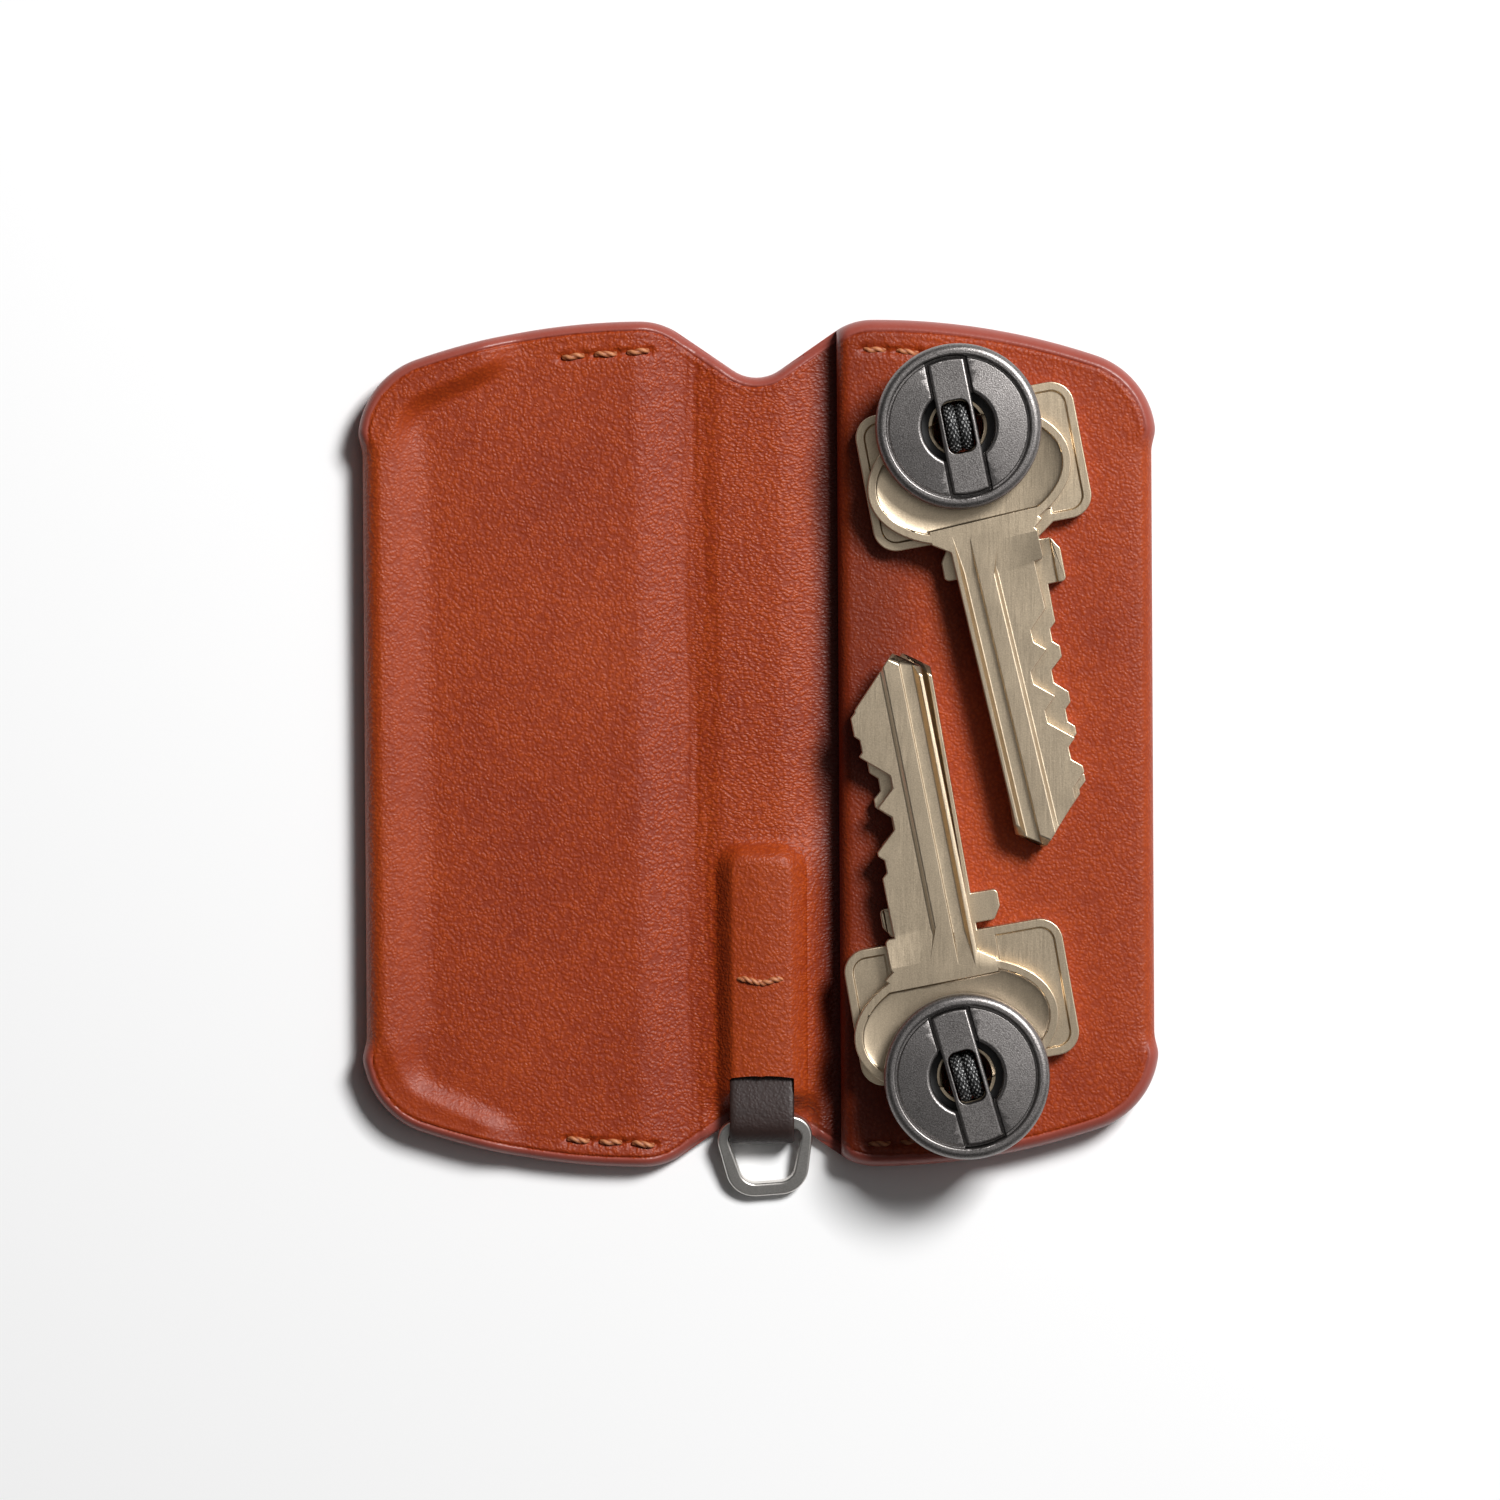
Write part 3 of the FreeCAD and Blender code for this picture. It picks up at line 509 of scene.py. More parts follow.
inner_finish = leather_finish("waxed hide inside", *hide_colours, 0.45)


def soft_max(first, second, blend):
    """The larger of two values, with the corner between them rounded."""
    overlap = np.clip(blend - np.abs(first - second), 0, None) / blend
    return np.maximum(first, second) + overlap**2 * blend / 4


def stitch_holes(side):
    """The places where the stitches of one side go down into the leather."""
    holes = []
    for end, first_y in stitch_rows:
        for number in range(3):
            away = number * stitch_pitch
            for half in (-stitch_length / 2, stitch_length / 2):
                reach = away + half
                holes.append((side * (stitch_first_x + reach), end * (first_y + reach * stitch_slope)))
    return holes


def stitch_dents(x, y, side):
    """The leather drawn down at each stitch hole and under each stitch, and puckered beyond the holes."""
    hole_depth, hole_lip, bed_depth, pucker_rise = 0.3, 0.05, 0.22, 0.09
    pucker_x, pucker_y = 0.25, 0.5

    def near(middle_x, middle_y, area):
        return np.exp(-((x - middle_x) ** 2 + (y - middle_y) ** 2) / area)

    dent = np.zeros(len(x))
    holes = np.array(stitch_holes(side))
    for hole_x, hole_y in holes:
        dent -= hole_depth * near(hole_x, hole_y, 0.16) - hole_lip * near(hole_x, hole_y, 0.9)
    for start, end in zip(holes[::2], holes[1::2]):
        run = end - start
        share = np.clip(((x - start[0]) * run[0] + (y - start[1]) * run[1]) / (run @ run), 0, 1)
        dent -= bed_depth * near(start[0] + share * run[0], start[1] + share * run[1], 0.2)
        for hole_x, hole_y in (start, end):
            beyond = pucker_x * np.sign(hole_x - start[0] - run[0] / 2)
            dent += pucker_rise * near(hole_x + beyond, hole_y + pucker_y, 0.14)
    return dent


def valley(x):
    """The lie of the leather from the cover's floor down into the spine and under the panel."""
    fall = (cover_floor - 1.98) * smooth(-12.9, -6.9, x)
    swell = 0.34 * smooth(-6.6, -3.4, x) - 0.92 * smooth(1.8, 7.9, x)
    return cover_floor - fall + swell + 0.8 * smooth(8.7, 9.7, x)


def fold_creases(x, y):
    """Fine upright creases where the cover's leather turns into the spine."""
    lines = (
        (-7.4, 0.1, 0.28, 0.13),
        (-6.5, 0.13, 0.22, 0.1),
        (-5.5, 0.09, 0.3, 0.16),
        (-4.7, 0.05, 0.25, 0.2),
    )
    depth = np.zeros(len(x))
    for number, (line_x, deep, wide, sway) in enumerate(lines):
        wander = sway * np.sin(y * 0.31 + number * 1.7) + 0.5 * sway * np.sin(y * 0.83 + number)
        fade = 0.55 + 0.45 * np.sin(y * 0.17 + number * 2.1)
        depth -= deep * fade * ridge(x, line_x + wander, wide)
    return depth


def cover_rim(x, y):
    """The raised rim: full along the free side, turning in at the corners and fading along the ends."""
    u = -x
    tall = np.abs(y)
    side = u - rim_middle_x
    end = (u - rim_middle_x) * math.sin(rim_slant) + (tall - rim_turn_y) * math.cos(rim_slant)
    past = soft_max(side, end, 2.4)
    run = 2.9 - 1.7 * smooth(29, 34.5, tall)
    rise = rim_rise * (1 - 0.38 * smooth(30, 35, -y))
    return rise * smooth(-run, run, past) * smooth(24.0, 28.8, u)


def sleeve_rise(x, y):
    """0 outside the sleeve and 1 on its top, rising along its flanks and its rounded head."""
    reach = np.where(x < sleeve_x, sleeve_half + 0.5, sleeve_half + 0.6)
    across = np.abs(x - sleeve_x) - (reach - sleeve_radius)
    along = y - (sleeve_head_y - sleeve_radius)
    outside = np.hypot(np.clip(across, 0, None), np.clip(along, 0, None))
    inside = np.minimum(np.maximum(across, along), 0)
    depth = sleeve_radius - outside - inside
    width = np.where(x < sleeve_x, 1.75, 1.8)
    share = np.clip(depth / width, 0, 1)
    return (1 - (1 - share) ** 2) * (0.45 + 0.55 * share)


def edge_line(distance, width, swell):
    """The fine groove that a creaser runs beside the painted edge, and the leather swelling next to it."""
    return swell * ridge(distance, width + 0.4, 0.18) - 0.13 * ridge(distance, width + 0.1, 0.1)


def lining_top(x, y, distance):
    """Height of the inner leather's upper face on the cover and spine."""
    height = valley(x) + cover_rim(x, y) + fold_creases(x, y)
    on_floor = smooth(-38, -30, x) * (1 - smooth(-13, -9, x))
    height += 0.05 * np.sin(x * 0.24 + 1.0) * np.sin(y * 0.11) * on_floor
    beside_sleeve = smooth(1.5, 4.5, x) * (1 - smooth(4.4, 8.0, x))
    height += sleeve_swell * smooth(sleeve_head_y + 3, sleeve_head_y - 6, y) * beside_sleeve
    rise = sleeve_rise(x, y)
    height += (sleeve_top - 0.02 * (x - sleeve_x - 0.6) ** 2 - height) * rise
    height += stitch_dents(x, y, -1)
    sides = folded(x, y)
    height -= quarter_round(distance, bead, 1.45) * (1 - sides)
    height -= quarter_round(distance, 2.0, 2.3) * sides
    height += edge_line(distance, bead, 0.06) * (1 - sides)
    near_ring = smooth(-35.6, -38.5, y) * (1 - smooth(4.6, 6.6, np.abs(x - 0.3)))
    return height + (np.minimum(height, skin + 0.12) - height) * near_ring


cover_columns = np.concatenate(
    [
        -corner_columns[::-1],
        spread(
            (-corner_from_x, 0.45),
            (-22, 0.28),
            (-11, 0.3),
            (-4.4, 0.2),
            (-2.2, 0.4),
            (2.2, 0.22),
            (spine_join_x, 0),
        ),
    ]
)
lining = cut_sheet("inner_leather_cover", cover_columns, 120)


def cut_away(piece, inside):
    """Cuts out the part of a sheet for which inside is true, and gives the points along its cut edges."""
    bpy.ops.object.mode_set(mode="EDIT")
    bpy.ops.mesh.select_all(action="DESELECT")
    bpy.ops.object.mode_set(mode="OBJECT")
    for face in piece.data.polygons:
        x, y, _ = face.center / MM
        face.select = inside(x, y)
    bpy.ops.object.mode_set(mode="EDIT")
    bpy.ops.mesh.delete(type="FACE")
    bpy.ops.object.mode_set(mode="OBJECT")
    shared = {}
    for face in piece.data.polygons:
        for edge in face.edge_keys:
            shared[edge] = shared.get(edge, 0) + 1
    return sorted({point for edge, count in shared.items() if count == 1 for point in edge})


def under_mouth(x, y):
    """The sleeve's mouth: the leather between its flanks stops short, so that the strap comes out."""
    return abs(x - sleeve_x) < strap_half + 0.1 and y < sleeve_mouth_y


mouth_edge = cut_away(lining, under_mouth)
place = points(lining)
for point in mouth_edge:
    aside = (place[point, 0] - sleeve_x) / strap_half
    if abs(aside) < 1 and abs(place[point, 1] - sleeve_mouth_y) < 1:
        place[point, 1] = sleeve_mouth_y + 0.25 * (1 - aside**2)
move_points(lining, place)
x, y = place[:, 0], place[:, 1]
distance = edge_distance(x, y)
top = lining_top(x, y, distance)
over_board = smooth(*board_margin, distance) * smooth(-11.0, -11.45, x)
tunnel = smooth(strap_half + 0.3, strap_half + 0.12, np.abs(x - sleeve_x)) * smooth(-12.6, -12.9, y)
under = skin + cover_board_room * over_board + strap_room * tunnel + quarter_round(distance, *hidden_round)
under = np.minimum(under, top - 0.04)
build_up(lining, top, under)
on_sleeve = sleeve_rise(x, y)
wrinkled = ridge(x, -32, 6) * ridge(y, -36, 4) * 0.5
spine_grain = smooth(-8.2, -6.2, x) * (1 - 0.9 * on_sleeve)
up_rim = np.clip(cover_rim(x, y) / rim_rise, 0, 1)
mark_leather(
    lining,
    0.78 + 0.12 * smooth(-15, -9, x) - 0.05 * on_sleeve - 1.2 * up_rim * (1 - up_rim),
    painted=paint_cover(x, y, distance),
    creased=np.maximum(spine_grain, wrinkled),
    pulled=on_sleeve * 0.45 + folded(x, y) * (1 - smooth(1.2, 3.5, distance)) * 0.5,
)
lining.data.materials.append(inner_finish)
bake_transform(lining)
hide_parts("cover_inner_leather", "spine_inner_leather")

# Inner leather between spine and panel
# The same hide carries on from the spine and is tucked and glued under the panel's inner edge. Painted shade
# darkens it in the gap beside the panel, for the shadow that the panel's edge casts there.
tuck_bend_x = 7.1
tuck = cut_sheet("inner_leather_tuck", spread((spine_join_x, 0.25), (9, 0.5), (12.3, 0)), 120)
place = points(tuck)
x, y = place[:, 0], place[:, 1]
distance = edge_distance(x, y)
build_up(
    tuck,
    np.maximum(lining_top(x, y, distance), skin + 0.08),
    skin + quarter_round(distance, *hidden_round) * 0.5,
)
mark_leather(
    tuck,
    0.75,
    painted=paint_cover(x, y, distance),
    creased=1,
    painted_shade=0.8 * smooth(spine_join_x, tuck_bend_x, x),
)
tuck.data.materials.append(inner_finish)
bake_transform(tuck)
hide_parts("hinge_tuck")

# Inner leather of the panel
# The same hide, drawn tight over the panel's thick board, with a soft turned edge beside the spine and two
# punched holes for the elastic.
panel_edge_x = 8.3
panel_top = 4.8
posts = {"top": (20.6, 32.5), "bottom": (21.1, -34.0)}
post_hole = 2.2
panel_bead = 1.2
panel_board_top = 3.62
tuck_room = 1.02

panel_columns = np.concatenate(
    [
        panel_edge_x + np.array([0, 0.03, 0.08, 0.16, 0.26, 0.4, 0.56, 0.74, 0.94, 1.15, 1.4]),
        spread((panel_edge_x + 1.7, 0.28), (22, 0.5), (corner_from_x, 0)),
        corner_columns,
    ]
)
panel = cut_sheet("inner_leather_panel", panel_columns, 120)


def in_post_hole(x, y):
    """The two holes that are punched for the elastic."""
    return any(math.hypot(x - px, y - py) < post_hole for px, py in posts.values())


hole_edges = cut_away(panel, in_post_hole)
place = points(panel)
for point in hole_edges:
    for px, py in posts.values():
        away = math.hypot(place[point, 0] - px, place[point, 1] - py)
        if away < post_hole * 1.6:
            place[point, 0] = px + (place[point, 0] - px) * post_hole / away
            place[point, 1] = py + (place[point, 1] - py) * post_hole / away
move_points(panel, place)
x, y = place[:, 0], place[:, 1]
distance = edge_distance(x, y)
sides = folded(x, y)
top = panel_top + stitch_dents(x, y, 1) + 0.03 * np.sin(x * 0.2) * np.sin(y * 0.13 + 0.6)
top -= quarter_round(distance, panel_bead, 1.9) * (1 - sides)
top -= (quarter_round(distance, 1.5, 1.7) + quarter_round(distance, 4.8, 0.45)) * sides
top += edge_line(distance, panel_bead, 0.05) * (1 - sides)
top -= quarter_round(x - panel_edge_x, 1.3, 1.5) + quarter_round(x - panel_edge_x, 6.0, 0.16)
over_board = smooth(*board_margin, distance) * smooth(9.15, 9.45, x)
over_tuck = smooth(12.5, 12.35, x) * smooth(8.5, 9.3, x)
inner_floor = skin + tuck_room * over_tuck + 0.2 * smooth(9.3, 8.5, x)
under = inner_floor + (panel_board_top - inner_floor) * over_board + quarter_round(distance, *hidden_round)
build_up(panel, top, under)
# Painted shade darkens the panel's left part, for the soft shadow of the keys and discs.
mark_leather(
    panel,
    0.66,
    painted=paint_cover(x, y, distance, panel_bead),
    pulled=sides * (1 - smooth(0.8, 2.2, distance)) * 0.5,
    painted_shade=0.3 * smooth(19, 10, x) + 0.28 * smooth(18, 13, x) * smooth(26, 19, y),
)
panel.data.materials.append(inner_finish)
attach(panel, "panel")
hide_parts("panel_inner_leather")

# Thread
# Waxed two-ply thread in short rows of three stitches at each end of the cover and panel, drawn down into
# the leather, and one bar across the sleeve that holds the strap.
thread_radius = 0.32
stitch_dip = 0.26
tack_dip = 0.3
tack_twist = 0.8


def wrap_tube(name, around, along, place_on, mark=None):
    """Closed tube: place_on gives its points, and mark a value, from shares of a turn and of its length."""
    bpy.ops.object.select_all(action="DESELECT")
    bpy.ops.mesh.primitive_grid_add(x_subdivisions=around, y_subdivisions=along, size=2)
    piece = bpy.context.object
    piece.name = name
    piece.data.name = name
    grid = points(piece) * MM
    turn, share = (grid[:, 0] + 1) / 2, (grid[:, 1] + 1) / 2
    move_points(piece, place_on(turn, share))
    if mark:
        paint_points(piece, "mark", mark(turn, share))
    bpy.ops.object.mode_set(mode="EDIT")
    bpy.ops.mesh.select_all(action="SELECT")
    bpy.ops.mesh.remove_doubles(threshold=0.002 * MM)
    bpy.ops.mesh.normals_make_consistent(inside=False)
    bpy.ops.object.mode_set(mode="OBJECT")
    bpy.ops.object.shade_smooth()
    return piece


def join(pieces, name):
    """Joins pieces into one."""
    bpy.ops.object.select_all(action="DESELECT")
    for piece in pieces:
        piece.select_set(True)
    bpy.context.view_layer.objects.active = pieces[0]
    bpy.ops.object.join()
    joined = bpy.context.object
    joined.name = name
    joined.data.name = name
    return joined


def thread_finish():
    """Waxed thread with painted shade between its plies, fuzzy with fibre."""
    finish, bench, shader = new_finish("waxed thread")
    place = bench.add("ShaderNodeTexCoord").outputs["Object"]
    fibre = bench.noise(place, 9000.0, 3.0)
    ply = bench.add("ShaderNodeAttribute", attribute_name="mark").outputs["Fac"]
    shade = bench.maths("ADD", bench.maths("MULTIPLY", fibre, 0.5), bench.maths("MULTIPLY", ply, 0.6))
    colour = bench.ramp(
        shade, [(0.2, (0.15, 0.032, 0.01, 1)), (0.55, (0.37, 0.105, 0.034, 1)), (0.9, (0.56, 0.225, 0.1, 1))]
    )
    rise = bench.bump(fibre, 0.7, 0.00004)
    bench.fill(shader, {"Base Color": colour, "Roughness": 0.5, "Normal": rise})
    return finish


waxed_thread = thread_finish()


def lay_thread(name, start, end, level, dip, sway, twist=1.1):
    """A two-ply thread from hole to hole, with its ends drawn down into the leather."""
    start, end = np.array(start), np.array(end)
    length = np.linalg.norm(end - start)
    forward = (end - start) / length
    across = np.array([-forward[1], forward[0]])

    def plies(turn, share):
        return np.abs(np.cos(turn * math.tau - share * length * math.pi / twist))

    def place_on(turn, share):
        angle = turn * math.tau
        along = share * length
        near_end = np.minimum(share, 1 - share)
        taper = np.clip(near_end * 30, 0, 1) ** 0.5 * (0.6 + 0.4 * smooth(0, 0.25, near_end))
        radius = thread_radius * (0.74 + 0.3 * plies(turn, share)) * taper
        drift = sway * np.sin(share * math.tau)
        sag = dip * np.abs(2 * share - 1) ** 2.6
        side = drift + radius * np.cos(angle)
        flat = start + forward * along[:, None] + across * side[:, None]
        return np.column_stack([flat, level - sag + radius * np.sin(angle)])

    piece = wrap_tube(name, 20, 48, place_on, plies)
    piece.data.materials.append(waxed_thread)
    return piece


def stitch_side(name, side, level, body, node):
    """The two rows of stitches on one side of the case."""
    holes = stitch_holes(side)
    stitches = []
    for number in range(0, len(holes), 2):
        sway = 0.07 if number % 4 else -0.06
        stitches.append(lay_thread(name, holes[number], holes[number + 1], level, stitch_dip, sway))
    rows = join(stitches, name)
    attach(rows, body)
    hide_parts(node)


stitch_side("stitches_cover", -1, cover_floor + 0.02, "cover", "cover_stitches")
stitch_side("stitches_panel", 1, panel_top - 0.24, "panel", "panel_stitches")

tack_y = -24.45
tack_half = 2.45
tack_parts = []
for name, start, end, level, sway in (
    ("tack", (-tack_half, tack_y + 0.2), (0.5, tack_y - 0.1), sleeve_top + 0.06, 0.1),
    ("tack_end", (-0.4, tack_y - 0.15), (tack_half, tack_y + 0.15), sleeve_top + 0.08, -0.12),
):
    tack_parts.append(lay_thread(name, start, end, level, tack_dip, sway, tack_twist))
tack = join(tack_parts, "stitch_sleeve")
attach(tack, "spine")
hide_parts("sleeve_stitch")

# Strap and ring
# A dark brown leather strap is doubled round the ring's bar and sewn into the sleeve. The ring is bent from
# flat satin nickel wire and swings in the strap's loop.
strap_thickness = 0.95
strap_end_y = -13.4
strap_part_run = 7.0
ring_bar_y = -39.29
ring_bar_room = 1.14
strap_middle_z = skin + strap_thickness
loop_radius = ring_bar_room + strap_thickness / 2


def strap_path(share):
    """Along the strap's upper layer, round the ring's bar and back underneath, with the way it faces."""
    layer = strap_thickness / 2
    straight = strap_end_y - ring_bar_y
    arc_length = math.pi * loop_radius
    along = share * (straight * 2 + arc_length)
    turn = np.clip((along - straight) / arc_length, 0, 1) * math.pi
    near = np.minimum(along, straight * 2 + arc_length - along)
    together = smooth(strap_part_run, 0.0, near - straight + strap_part_run)
    spread_out = loop_radius + (layer - loop_radius) * together
    y = np.where(turn > 0, ring_bar_y - loop_radius * np.sin(turn), strap_end_y - near)
    y = np.where(along > straight + arc_length, strap_end_y - near, y)
    z = np.cos(turn) * np.where((turn > 0) & (turn < math.pi), loop_radius, spread_out)
    return y, strap_middle_z + z, turn


def strap_place(turn, share):
    """The strap's points, from shares of a turn round it and of its length."""
    angle = turn * math.tau
    y, z, facing = strap_path(np.clip(share, 0.001, 0.999))
    closed = np.clip(np.minimum(share, 1 - share) * 200, 0, 1)
    wide = np.sign(np.cos(angle)) * np.abs(np.cos(angle)) ** 0.16 * (strap_half + 0.08) * closed
    thick = np.sign(np.sin(angle)) * np.abs(np.sin(angle)) ** 0.5 * strap_thickness / 2 * closed
    return np.column_stack([sleeve_x + wide, y - thick * np.sin(facing), z + thick * np.cos(facing)])


strap_finish = leather_finish(
    "dark strap", (0.015, 0.008, 0.007, 1), (0.026, 0.014, 0.012, 1), (0.04, 0.023, 0.02, 1), 0.45
)
strap = wrap_tube("strap", 72, 260, strap_place)
mark_leather(strap, 0.3)
strap.data.materials.append(strap_finish)
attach(strap, "spine")
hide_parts("loop_strap")


def worked_copy(node, name, edge):
    """A metal piece from its exact form: faces joined, edges eased by a little and faces smoothed."""
    piece = bpy.data.objects.new(name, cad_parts[node].data.copy())
    piece.data.name = name
    piece.data.materials.clear()
    bpy.context.scene.collection.objects.link(piece)
    take_up(piece)
    bpy.ops.mesh.customdata_custom_splitnormals_clear()
    bpy.ops.object.mode_set(mode="EDIT")
    bpy.ops.mesh.select_all(action="SELECT")
    bpy.ops.mesh.remove_doubles(threshold=0.006 * MM)
    bpy.ops.mesh.dissolve_limited(angle_limit=math.radians(0.08))
    bpy.ops.object.mode_set(mode="OBJECT")
    if edge:
        ease = piece.modifiers.new("ease", "BEVEL")
        ease.width = edge * MM
        ease.segments = 2
        ease.limit_method = "ANGLE"
        ease.angle_limit = math.radians(38)
        ease.use_clamp_overlap = False
        bpy.ops.object.modifier_apply(modifier="ease")
    bpy.ops.object.shade_smooth_by_angle(angle=smooth_angle)
    even = piece.modifiers.new("even", "WEIGHTED_NORMAL")
    even.keep_sharp = True
    even.weight = 80
    bpy.ops.object.modifier_apply(modifier="even")
    return piece


def metal_group():
    """Wear of a metal surface: fine specks, hairlines along one direction and slow changes of tone."""
    group = new_group(
        "metal wear",
        [("Vector", "NodeSocketVector"), ("Speck Scale", "NodeSocketFloat")],
        [("Speck", "NodeSocketFloat"), ("Hairline", "NodeSocketFloat"), ("Tone", "NodeSocketFloat")],
    )
    bench = Bench(group)
    inputs = bench.add("NodeGroupInput").outputs
    place = inputs["Vector"]
    drawn = bench.vectors("MULTIPLY", {0: place, 1: (9000.0, 350.0, 2500.0)})
    results = {
        "Speck": bench.noise(place, inputs["Speck Scale"], 2.0),
        "Hairline": bench.noise(drawn, 1.0, 3.0),
        "Tone": bench.noise(place, 260.0, 3.0),
    }
    bench.add("NodeGroupOutput", results)
    return group


metal_wear = metal_group()


def metal_finish(name, dark, pale, roughness, speck_scale, speck_depth, hairline_share):
    """Metal between two tones, with specks of that scale and depth in metres and a share of hairlines."""
    finish, bench, shader = new_finish(name)
    place = bench.add("ShaderNodeTexCoord").outputs["Object"]
    sockets = {"Vector": place, "Speck Scale": speck_scale}
    wear = bench.add("ShaderNodeGroup", sockets, node_tree=metal_wear).outputs
    smear = bench.span(wear["Hairline"], 0.3, 0.7, -0.08, 0.08)
    even = bench.span(wear["Tone"], 0.3, 0.7, roughness - 0.02, roughness + 0.02)
    height = bench.maths("ADD", wear["Speck"], bench.maths("MULTIPLY", wear["Hairline"], hairline_share))
    bench.fill(
        shader,
        {
            "Base Color": bench.ramp(wear["Speck"], [(0.25, dark), (0.75, pale)]),
            "Roughness": bench.maths("ADD", even, bench.maths("MULTIPLY", smear, hairline_share)),
            "Normal": bench.bump(height, 0.6, speck_depth),
            "Metallic": 1.0,
        },
    )
    return finish


ring_finish = metal_finish(
    "satin nickel", (0.58, 0.555, 0.52, 1), (0.74, 0.71, 0.67, 1), 0.36, 6000.0, 0.000008, 0.3
)
ring = worked_copy("d_ring", "ring", 0)
ring.data.materials.append(ring_finish)
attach(ring, "ring")
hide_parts("d_ring")

# Elastic loops
# Each post is a loop of two black braided elastic strands, knotted under its anchor in the panel. It passes
# up through the keys and the disc, and over the pin in the toggle's window.
toggle_turn = {"top": math.radians(101.0), "bottom": math.radians(105.8)}
strand_radius = 0.6
strand_offset = 0.63
loop_top_z = 11.25
loop_foot_z = 1.75
loop_spring_z = 10.1


def braid_finish():
    """Black nylon yarn, with a painted highlight on the crown of each yarn and painted shade in the gaps
    between them.
    """
    finish, bench, shader = new_finish("braided elastic")
    crown = bench.add("ShaderNodeAttribute", attribute_name="mark").outputs["Fac"]
    place = bench.add("ShaderNodeTexCoord").outputs["Object"]
    fibre = bench.noise(place, 7000.0, 2.0)
    lit = bench.maths("MULTIPLY", crown, bench.span(fibre, 0.3, 0.7, 0.55, 1.1))
    # Painted highlight and shade: the colour runs from black in the gaps up to pale grey on the crowns.
    colour = bench.ramp(
        lit, [(0.45, (0.006, 0.006, 0.006, 1)), (0.7, (0.06, 0.06, 0.061, 1)), (0.92, (0.6, 0.6, 0.58, 1))]
    )
    bench.fill(shader, {"Base Color": colour, "Roughness": 0.4})
    return finish


braided_elastic = braid_finish()


def braid_height(turn, along):
    """Height of a round braid from 0 to 1: yarns in two slants that pass over and under each other."""
    yarns_round, yarns_per_mm = 8, 1.9
    first = turn * yarns_round + along * yarns_per_mm
    second = turn * yarns_round - along * yarns_per_mm
    crest_one = np.sin(np.mod(first, 1) * math.pi)
    crest_two = np.sin(np.mod(second, 1) * math.pi)
    over = np.mod(np.floor(first) + np.floor(second), 2) == 0
    return np.where(over, crest_one**0.7 * (0.5 + 0.5 * crest_two), crest_two**0.7 * (0.5 + 0.5 * crest_one))


def add_strand(post, aside):
    """One strand of a loop, from the knot up, over the pin and down again."""
    arch_half = 1.95
    foot_half = 1.15
    rise = loop_spring_z - loop_foot_z
    arch = loop_top_z - loop_spring_z
    arch_length = math.pi * math.sqrt((arch_half**2 + arch**2) / 2)
    length = rise * 2 + arch_length
    cos, sin = math.cos(toggle_turn[post]), math.sin(toggle_turn[post])
    px, py = posts[post]

    def yarns(turn, share):
        return braid_height(turn, share * length)

    def place_on(turn, share):
        along = share * length
        swing = np.clip((along - rise) / arch_length, 0, 1) * math.pi
        climb = np.clip(np.minimum(along, length - along) / rise, 0, 1)
        side = np.where(along < length / 2, -1.0, 1.0)
        level = foot_half + (arch_half - foot_half) * smooth(0.78, 1.0, climb)
        on_arch = (swing > 0) & (swing < math.pi)
        u = np.where(on_arch, -arch_half * np.cos(swing), side * level)
        z = np.where(on_arch, loop_spring_z + arch * np.sin(swing), loop_foot_z + climb * rise)
        angle = turn * math.tau
        closed = np.clip(np.minimum(share, 1 - share) * 100, 0, 1)
        radius = strand_radius * (0.84 + 0.2 * yarns(turn, share)) * closed
        u = u - radius * np.cos(angle) * np.cos(swing)
        z = z + radius * np.cos(angle) * np.sin(swing)
        v = aside + radius * np.sin(angle)
        return np.column_stack([px + u * cos - v * sin, py + u * sin + v * cos, z])

    strand = wrap_tube(post + "_strand", 64, 620, place_on, yarns)
    strand.data.materials.append(braided_elastic)
    return strand


for post, (px, py) in posts.items():
    strands = [add_strand(post, -strand_offset), add_strand(post, strand_offset)]
    cord = join(strands, post + "_elastic")
    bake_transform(cord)
    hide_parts(post + "_cord")

# Keys
# Two house keys on each post, stamped from nickel silver: the lower one has a squared bow and the upper one
# an oval bow. Their bows are coined inside a rim, and their blades are milled with grooves and cut to a code.
key_edge = 0.12
key_finish = metal_finish(
    "nickel silver", (0.53, 0.425, 0.295, 1), (0.71, 0.58, 0.42, 1), 0.33, 7500.0, 0.00001, 0.45
)
for post in posts:
    for level in ("upper", "lower"):
        node = post + "_" + level + "_key"
        key = worked_copy(node, "key_" + post + "_" + level, key_edge)
        key.data.materials.append(key_finish)
        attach(key, node)
        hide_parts(node)

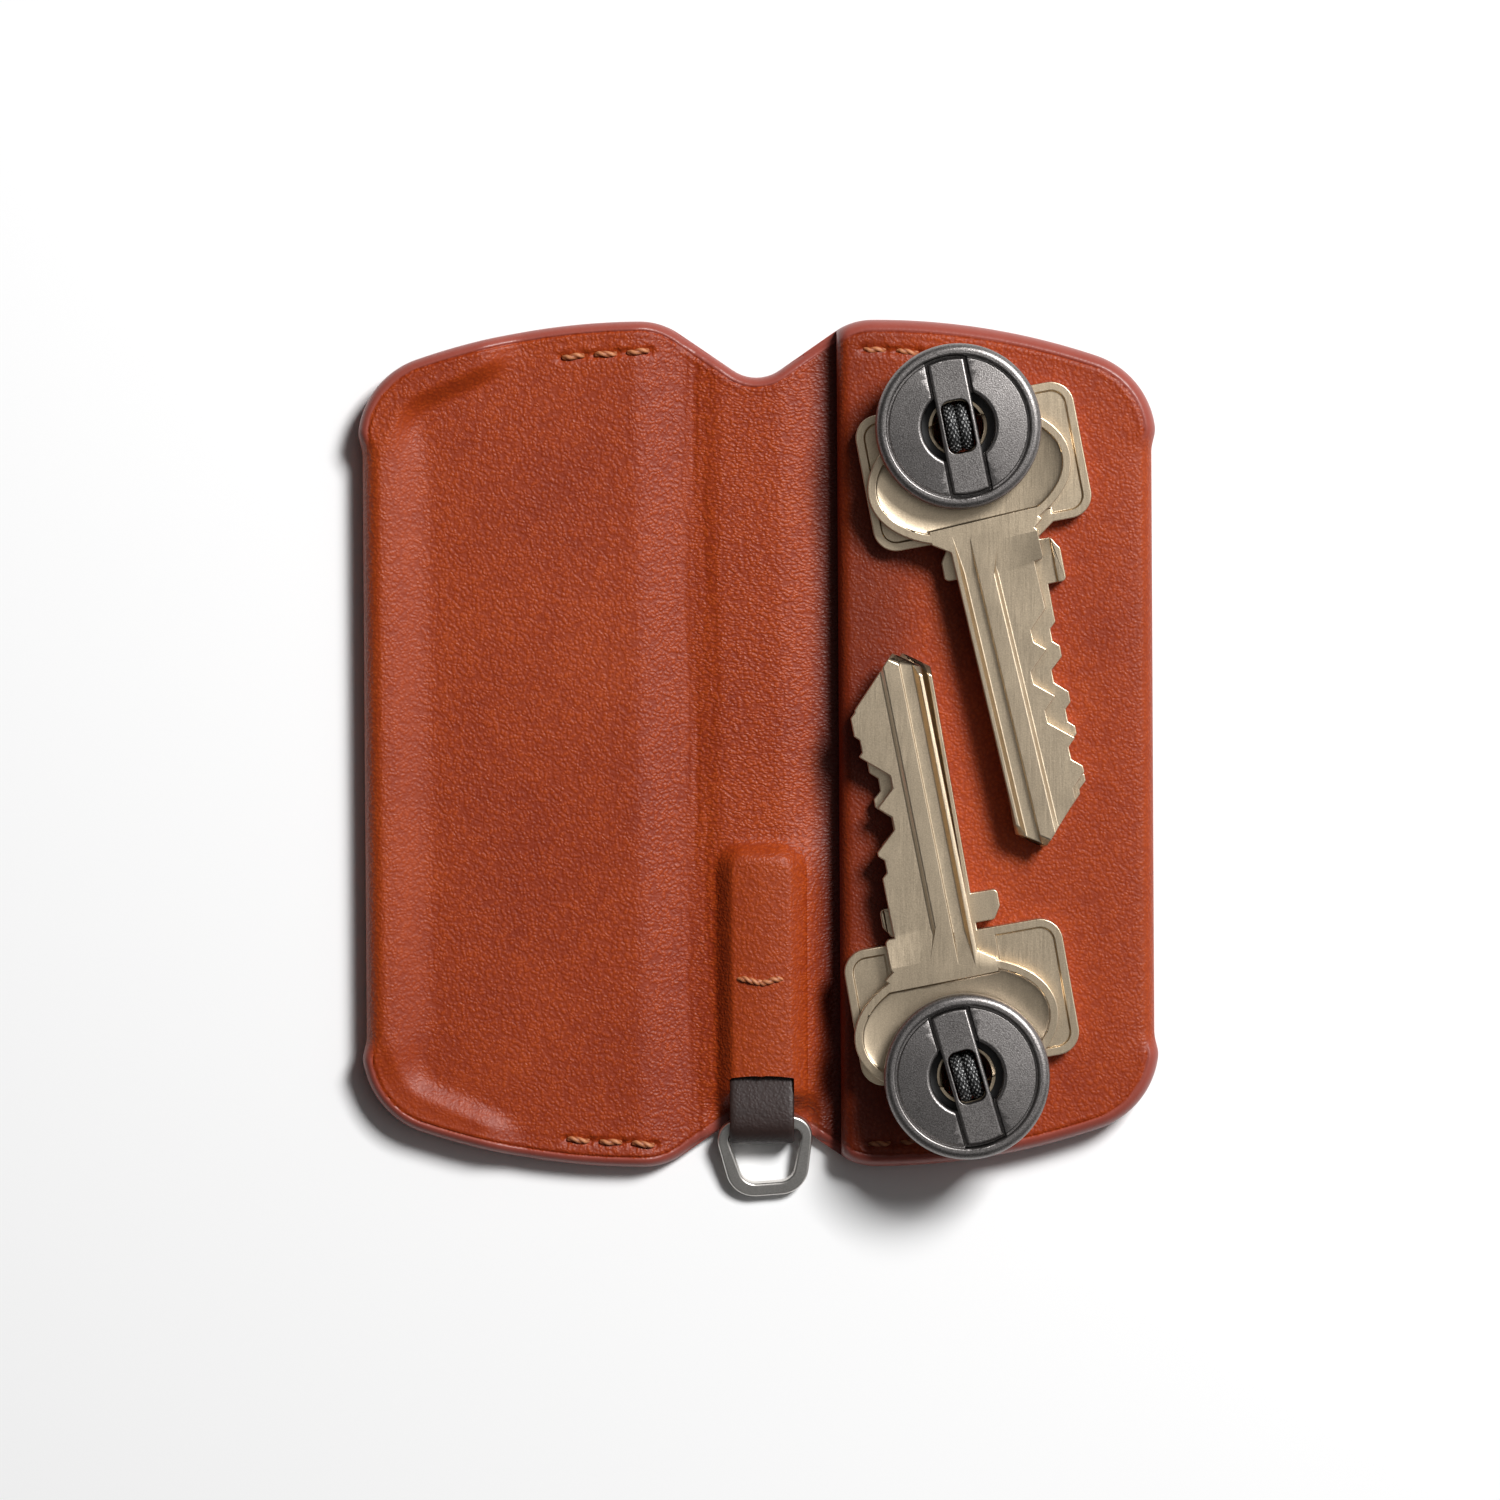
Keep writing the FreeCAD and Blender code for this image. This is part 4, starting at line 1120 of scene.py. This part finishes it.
# Lock discs and toggles
# Each disc is cast in zinc alloy with a rolled rim, and the toggle bar lies in its channel. Both are blasted
# to a fine sparkle and finished in matt gunmetal. A thin black ring under each disc is painted shade in its
# hole.
disc_edge = 0.06
bar_edge = 0.1
shade_ring_middle = 3.9
shade_ring_half = 0.9
shade_ring_z = 9.11
shade_ring_thickness = 0.09
disc_finish = metal_finish(
    "gunmetal", (0.1, 0.091, 0.087, 1), (0.33, 0.31, 0.3, 1), 0.37, 8000.0, 0.00003, 0.0
)
for post in posts:
    disc = worked_copy(post + "_lock_disc", post + "_disc", disc_edge)
    disc.data.materials.append(disc_finish)
    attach(disc, post + "_disc")
    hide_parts(post + "_lock_disc")

    # A dark ring in the gap between disc and keys: painted shade for the shadow down in the disc's hole.
    def shade_ring_place(turn, share, middle=posts[post]):
        out = shade_ring_middle + np.cos(turn * math.tau) * shade_ring_half
        z = shade_ring_z + np.sin(turn * math.tau) * shade_ring_thickness / 2
        swing = share * math.tau
        return np.column_stack([middle[0] + out * np.cos(swing), middle[1] + out * np.sin(swing), z])

    shade_ring = wrap_tube(post + "_washer", 16, 96, shade_ring_place)
    # The anchors' black serves here as painted shade.
    shade_ring.data.materials.append(anchor_finish)
    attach(shade_ring, post + "_disc")
    toggle = worked_copy(post + "_toggle", post + "_bar", bar_edge)
    toggle.data.materials.append(disc_finish)
    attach(toggle, post + "_toggle")
    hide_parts(post + "_toggle")

# Floor, light and camera
# The case lies on a plain white table, under one large soft light at the upper right and a pale room, and is
# seen from straight above. Metal mirrors a pale backdrop low down.
floor_size = 6.0
softbox_size = 0.28
softbox_power = 13.0
softbox_place = Vector((0.448, 0.471, 0.76))
glow_direction = Vector((0.58, 0.2, 0.79)).normalized()
glow_tightness = 6.0
camera_place = (-0.0008, 0.01615, 0.8028)
camera_tilt, camera_roll = math.radians(-1.2), math.radians(-0.35)
camera_lens = 185.8
bpy.ops.object.select_all(action="DESELECT")
bpy.ops.mesh.primitive_plane_add(size=floor_size, location=(0, 0, -0.00002))
floor = bpy.context.object
floor.name = "floor"
floor_finish, bench, shader = new_finish("white table")
bench.fill(shader, {"Base Color": (0.96, 0.96, 0.96, 1), "Roughness": 0.9, "Specular IOR Level": 0.0})
floor.data.materials.append(floor_finish)

lamp_data = bpy.data.lights.new("softbox", "AREA")
lamp_data.shape = "RECTANGLE"
lamp_data.size = softbox_size
lamp_data.size_y = softbox_size
lamp_data.energy = softbox_power
lamp = bpy.data.objects.new("softbox", lamp_data)
bpy.context.scene.collection.objects.link(lamp)
lamp.location = softbox_place
lamp.rotation_euler = (-softbox_place).to_track_quat("-Z", "Y").to_euler()

world = bpy.data.worlds.new("pale room")
bpy.context.scene.world = world
world.use_nodes = True
bench = Bench(world.node_tree)
path = bench.add("ShaderNodeLightPath").outputs
direction = bench.add("ShaderNodeTexCoord").outputs["Generated"]
towards = bench.add("ShaderNodeVectorMath", {0: direction, 1: glow_direction}, operation="DOT_PRODUCT")
facing = bench.maths("MAXIMUM", towards.outputs["Value"], 0.0)
lobe = bench.maths("POWER", facing, glow_tightness)
room = bench.maths("ADD", bench.maths("MULTIPLY", lobe, 0.45), 0.015)
height = bench.add("ShaderNodeSeparateXYZ", {0: direction}).outputs["Z"]
backdrop = bench.span(height, 0.0, 0.55, 0.42, 0.06)
mirrored = bench.maths("ADD", bench.maths("MULTIPLY", lobe, 0.95), backdrop)
lit = bench.between(path["Is Glossy Ray"], room, mirrored)
strength = bench.between(path["Is Camera Ray"], lit, 1.0)
bench.fill(world.node_tree.nodes["Background"], {"Color": (1, 1, 1, 1), "Strength": strength})

camera_data = bpy.data.cameras.new("overhead")
camera = bpy.data.objects.new("overhead", camera_data)
bpy.context.scene.collection.objects.link(camera)
camera.location = camera_place
camera.rotation_euler = (camera_tilt, 0, camera_roll)
camera_data.lens = camera_lens
camera_data.sensor_width = 36.0
camera_data.clip_start = 0.01
bpy.context.scene.camera = camera
bpy.context.scene.view_settings.view_transform = "Standard"
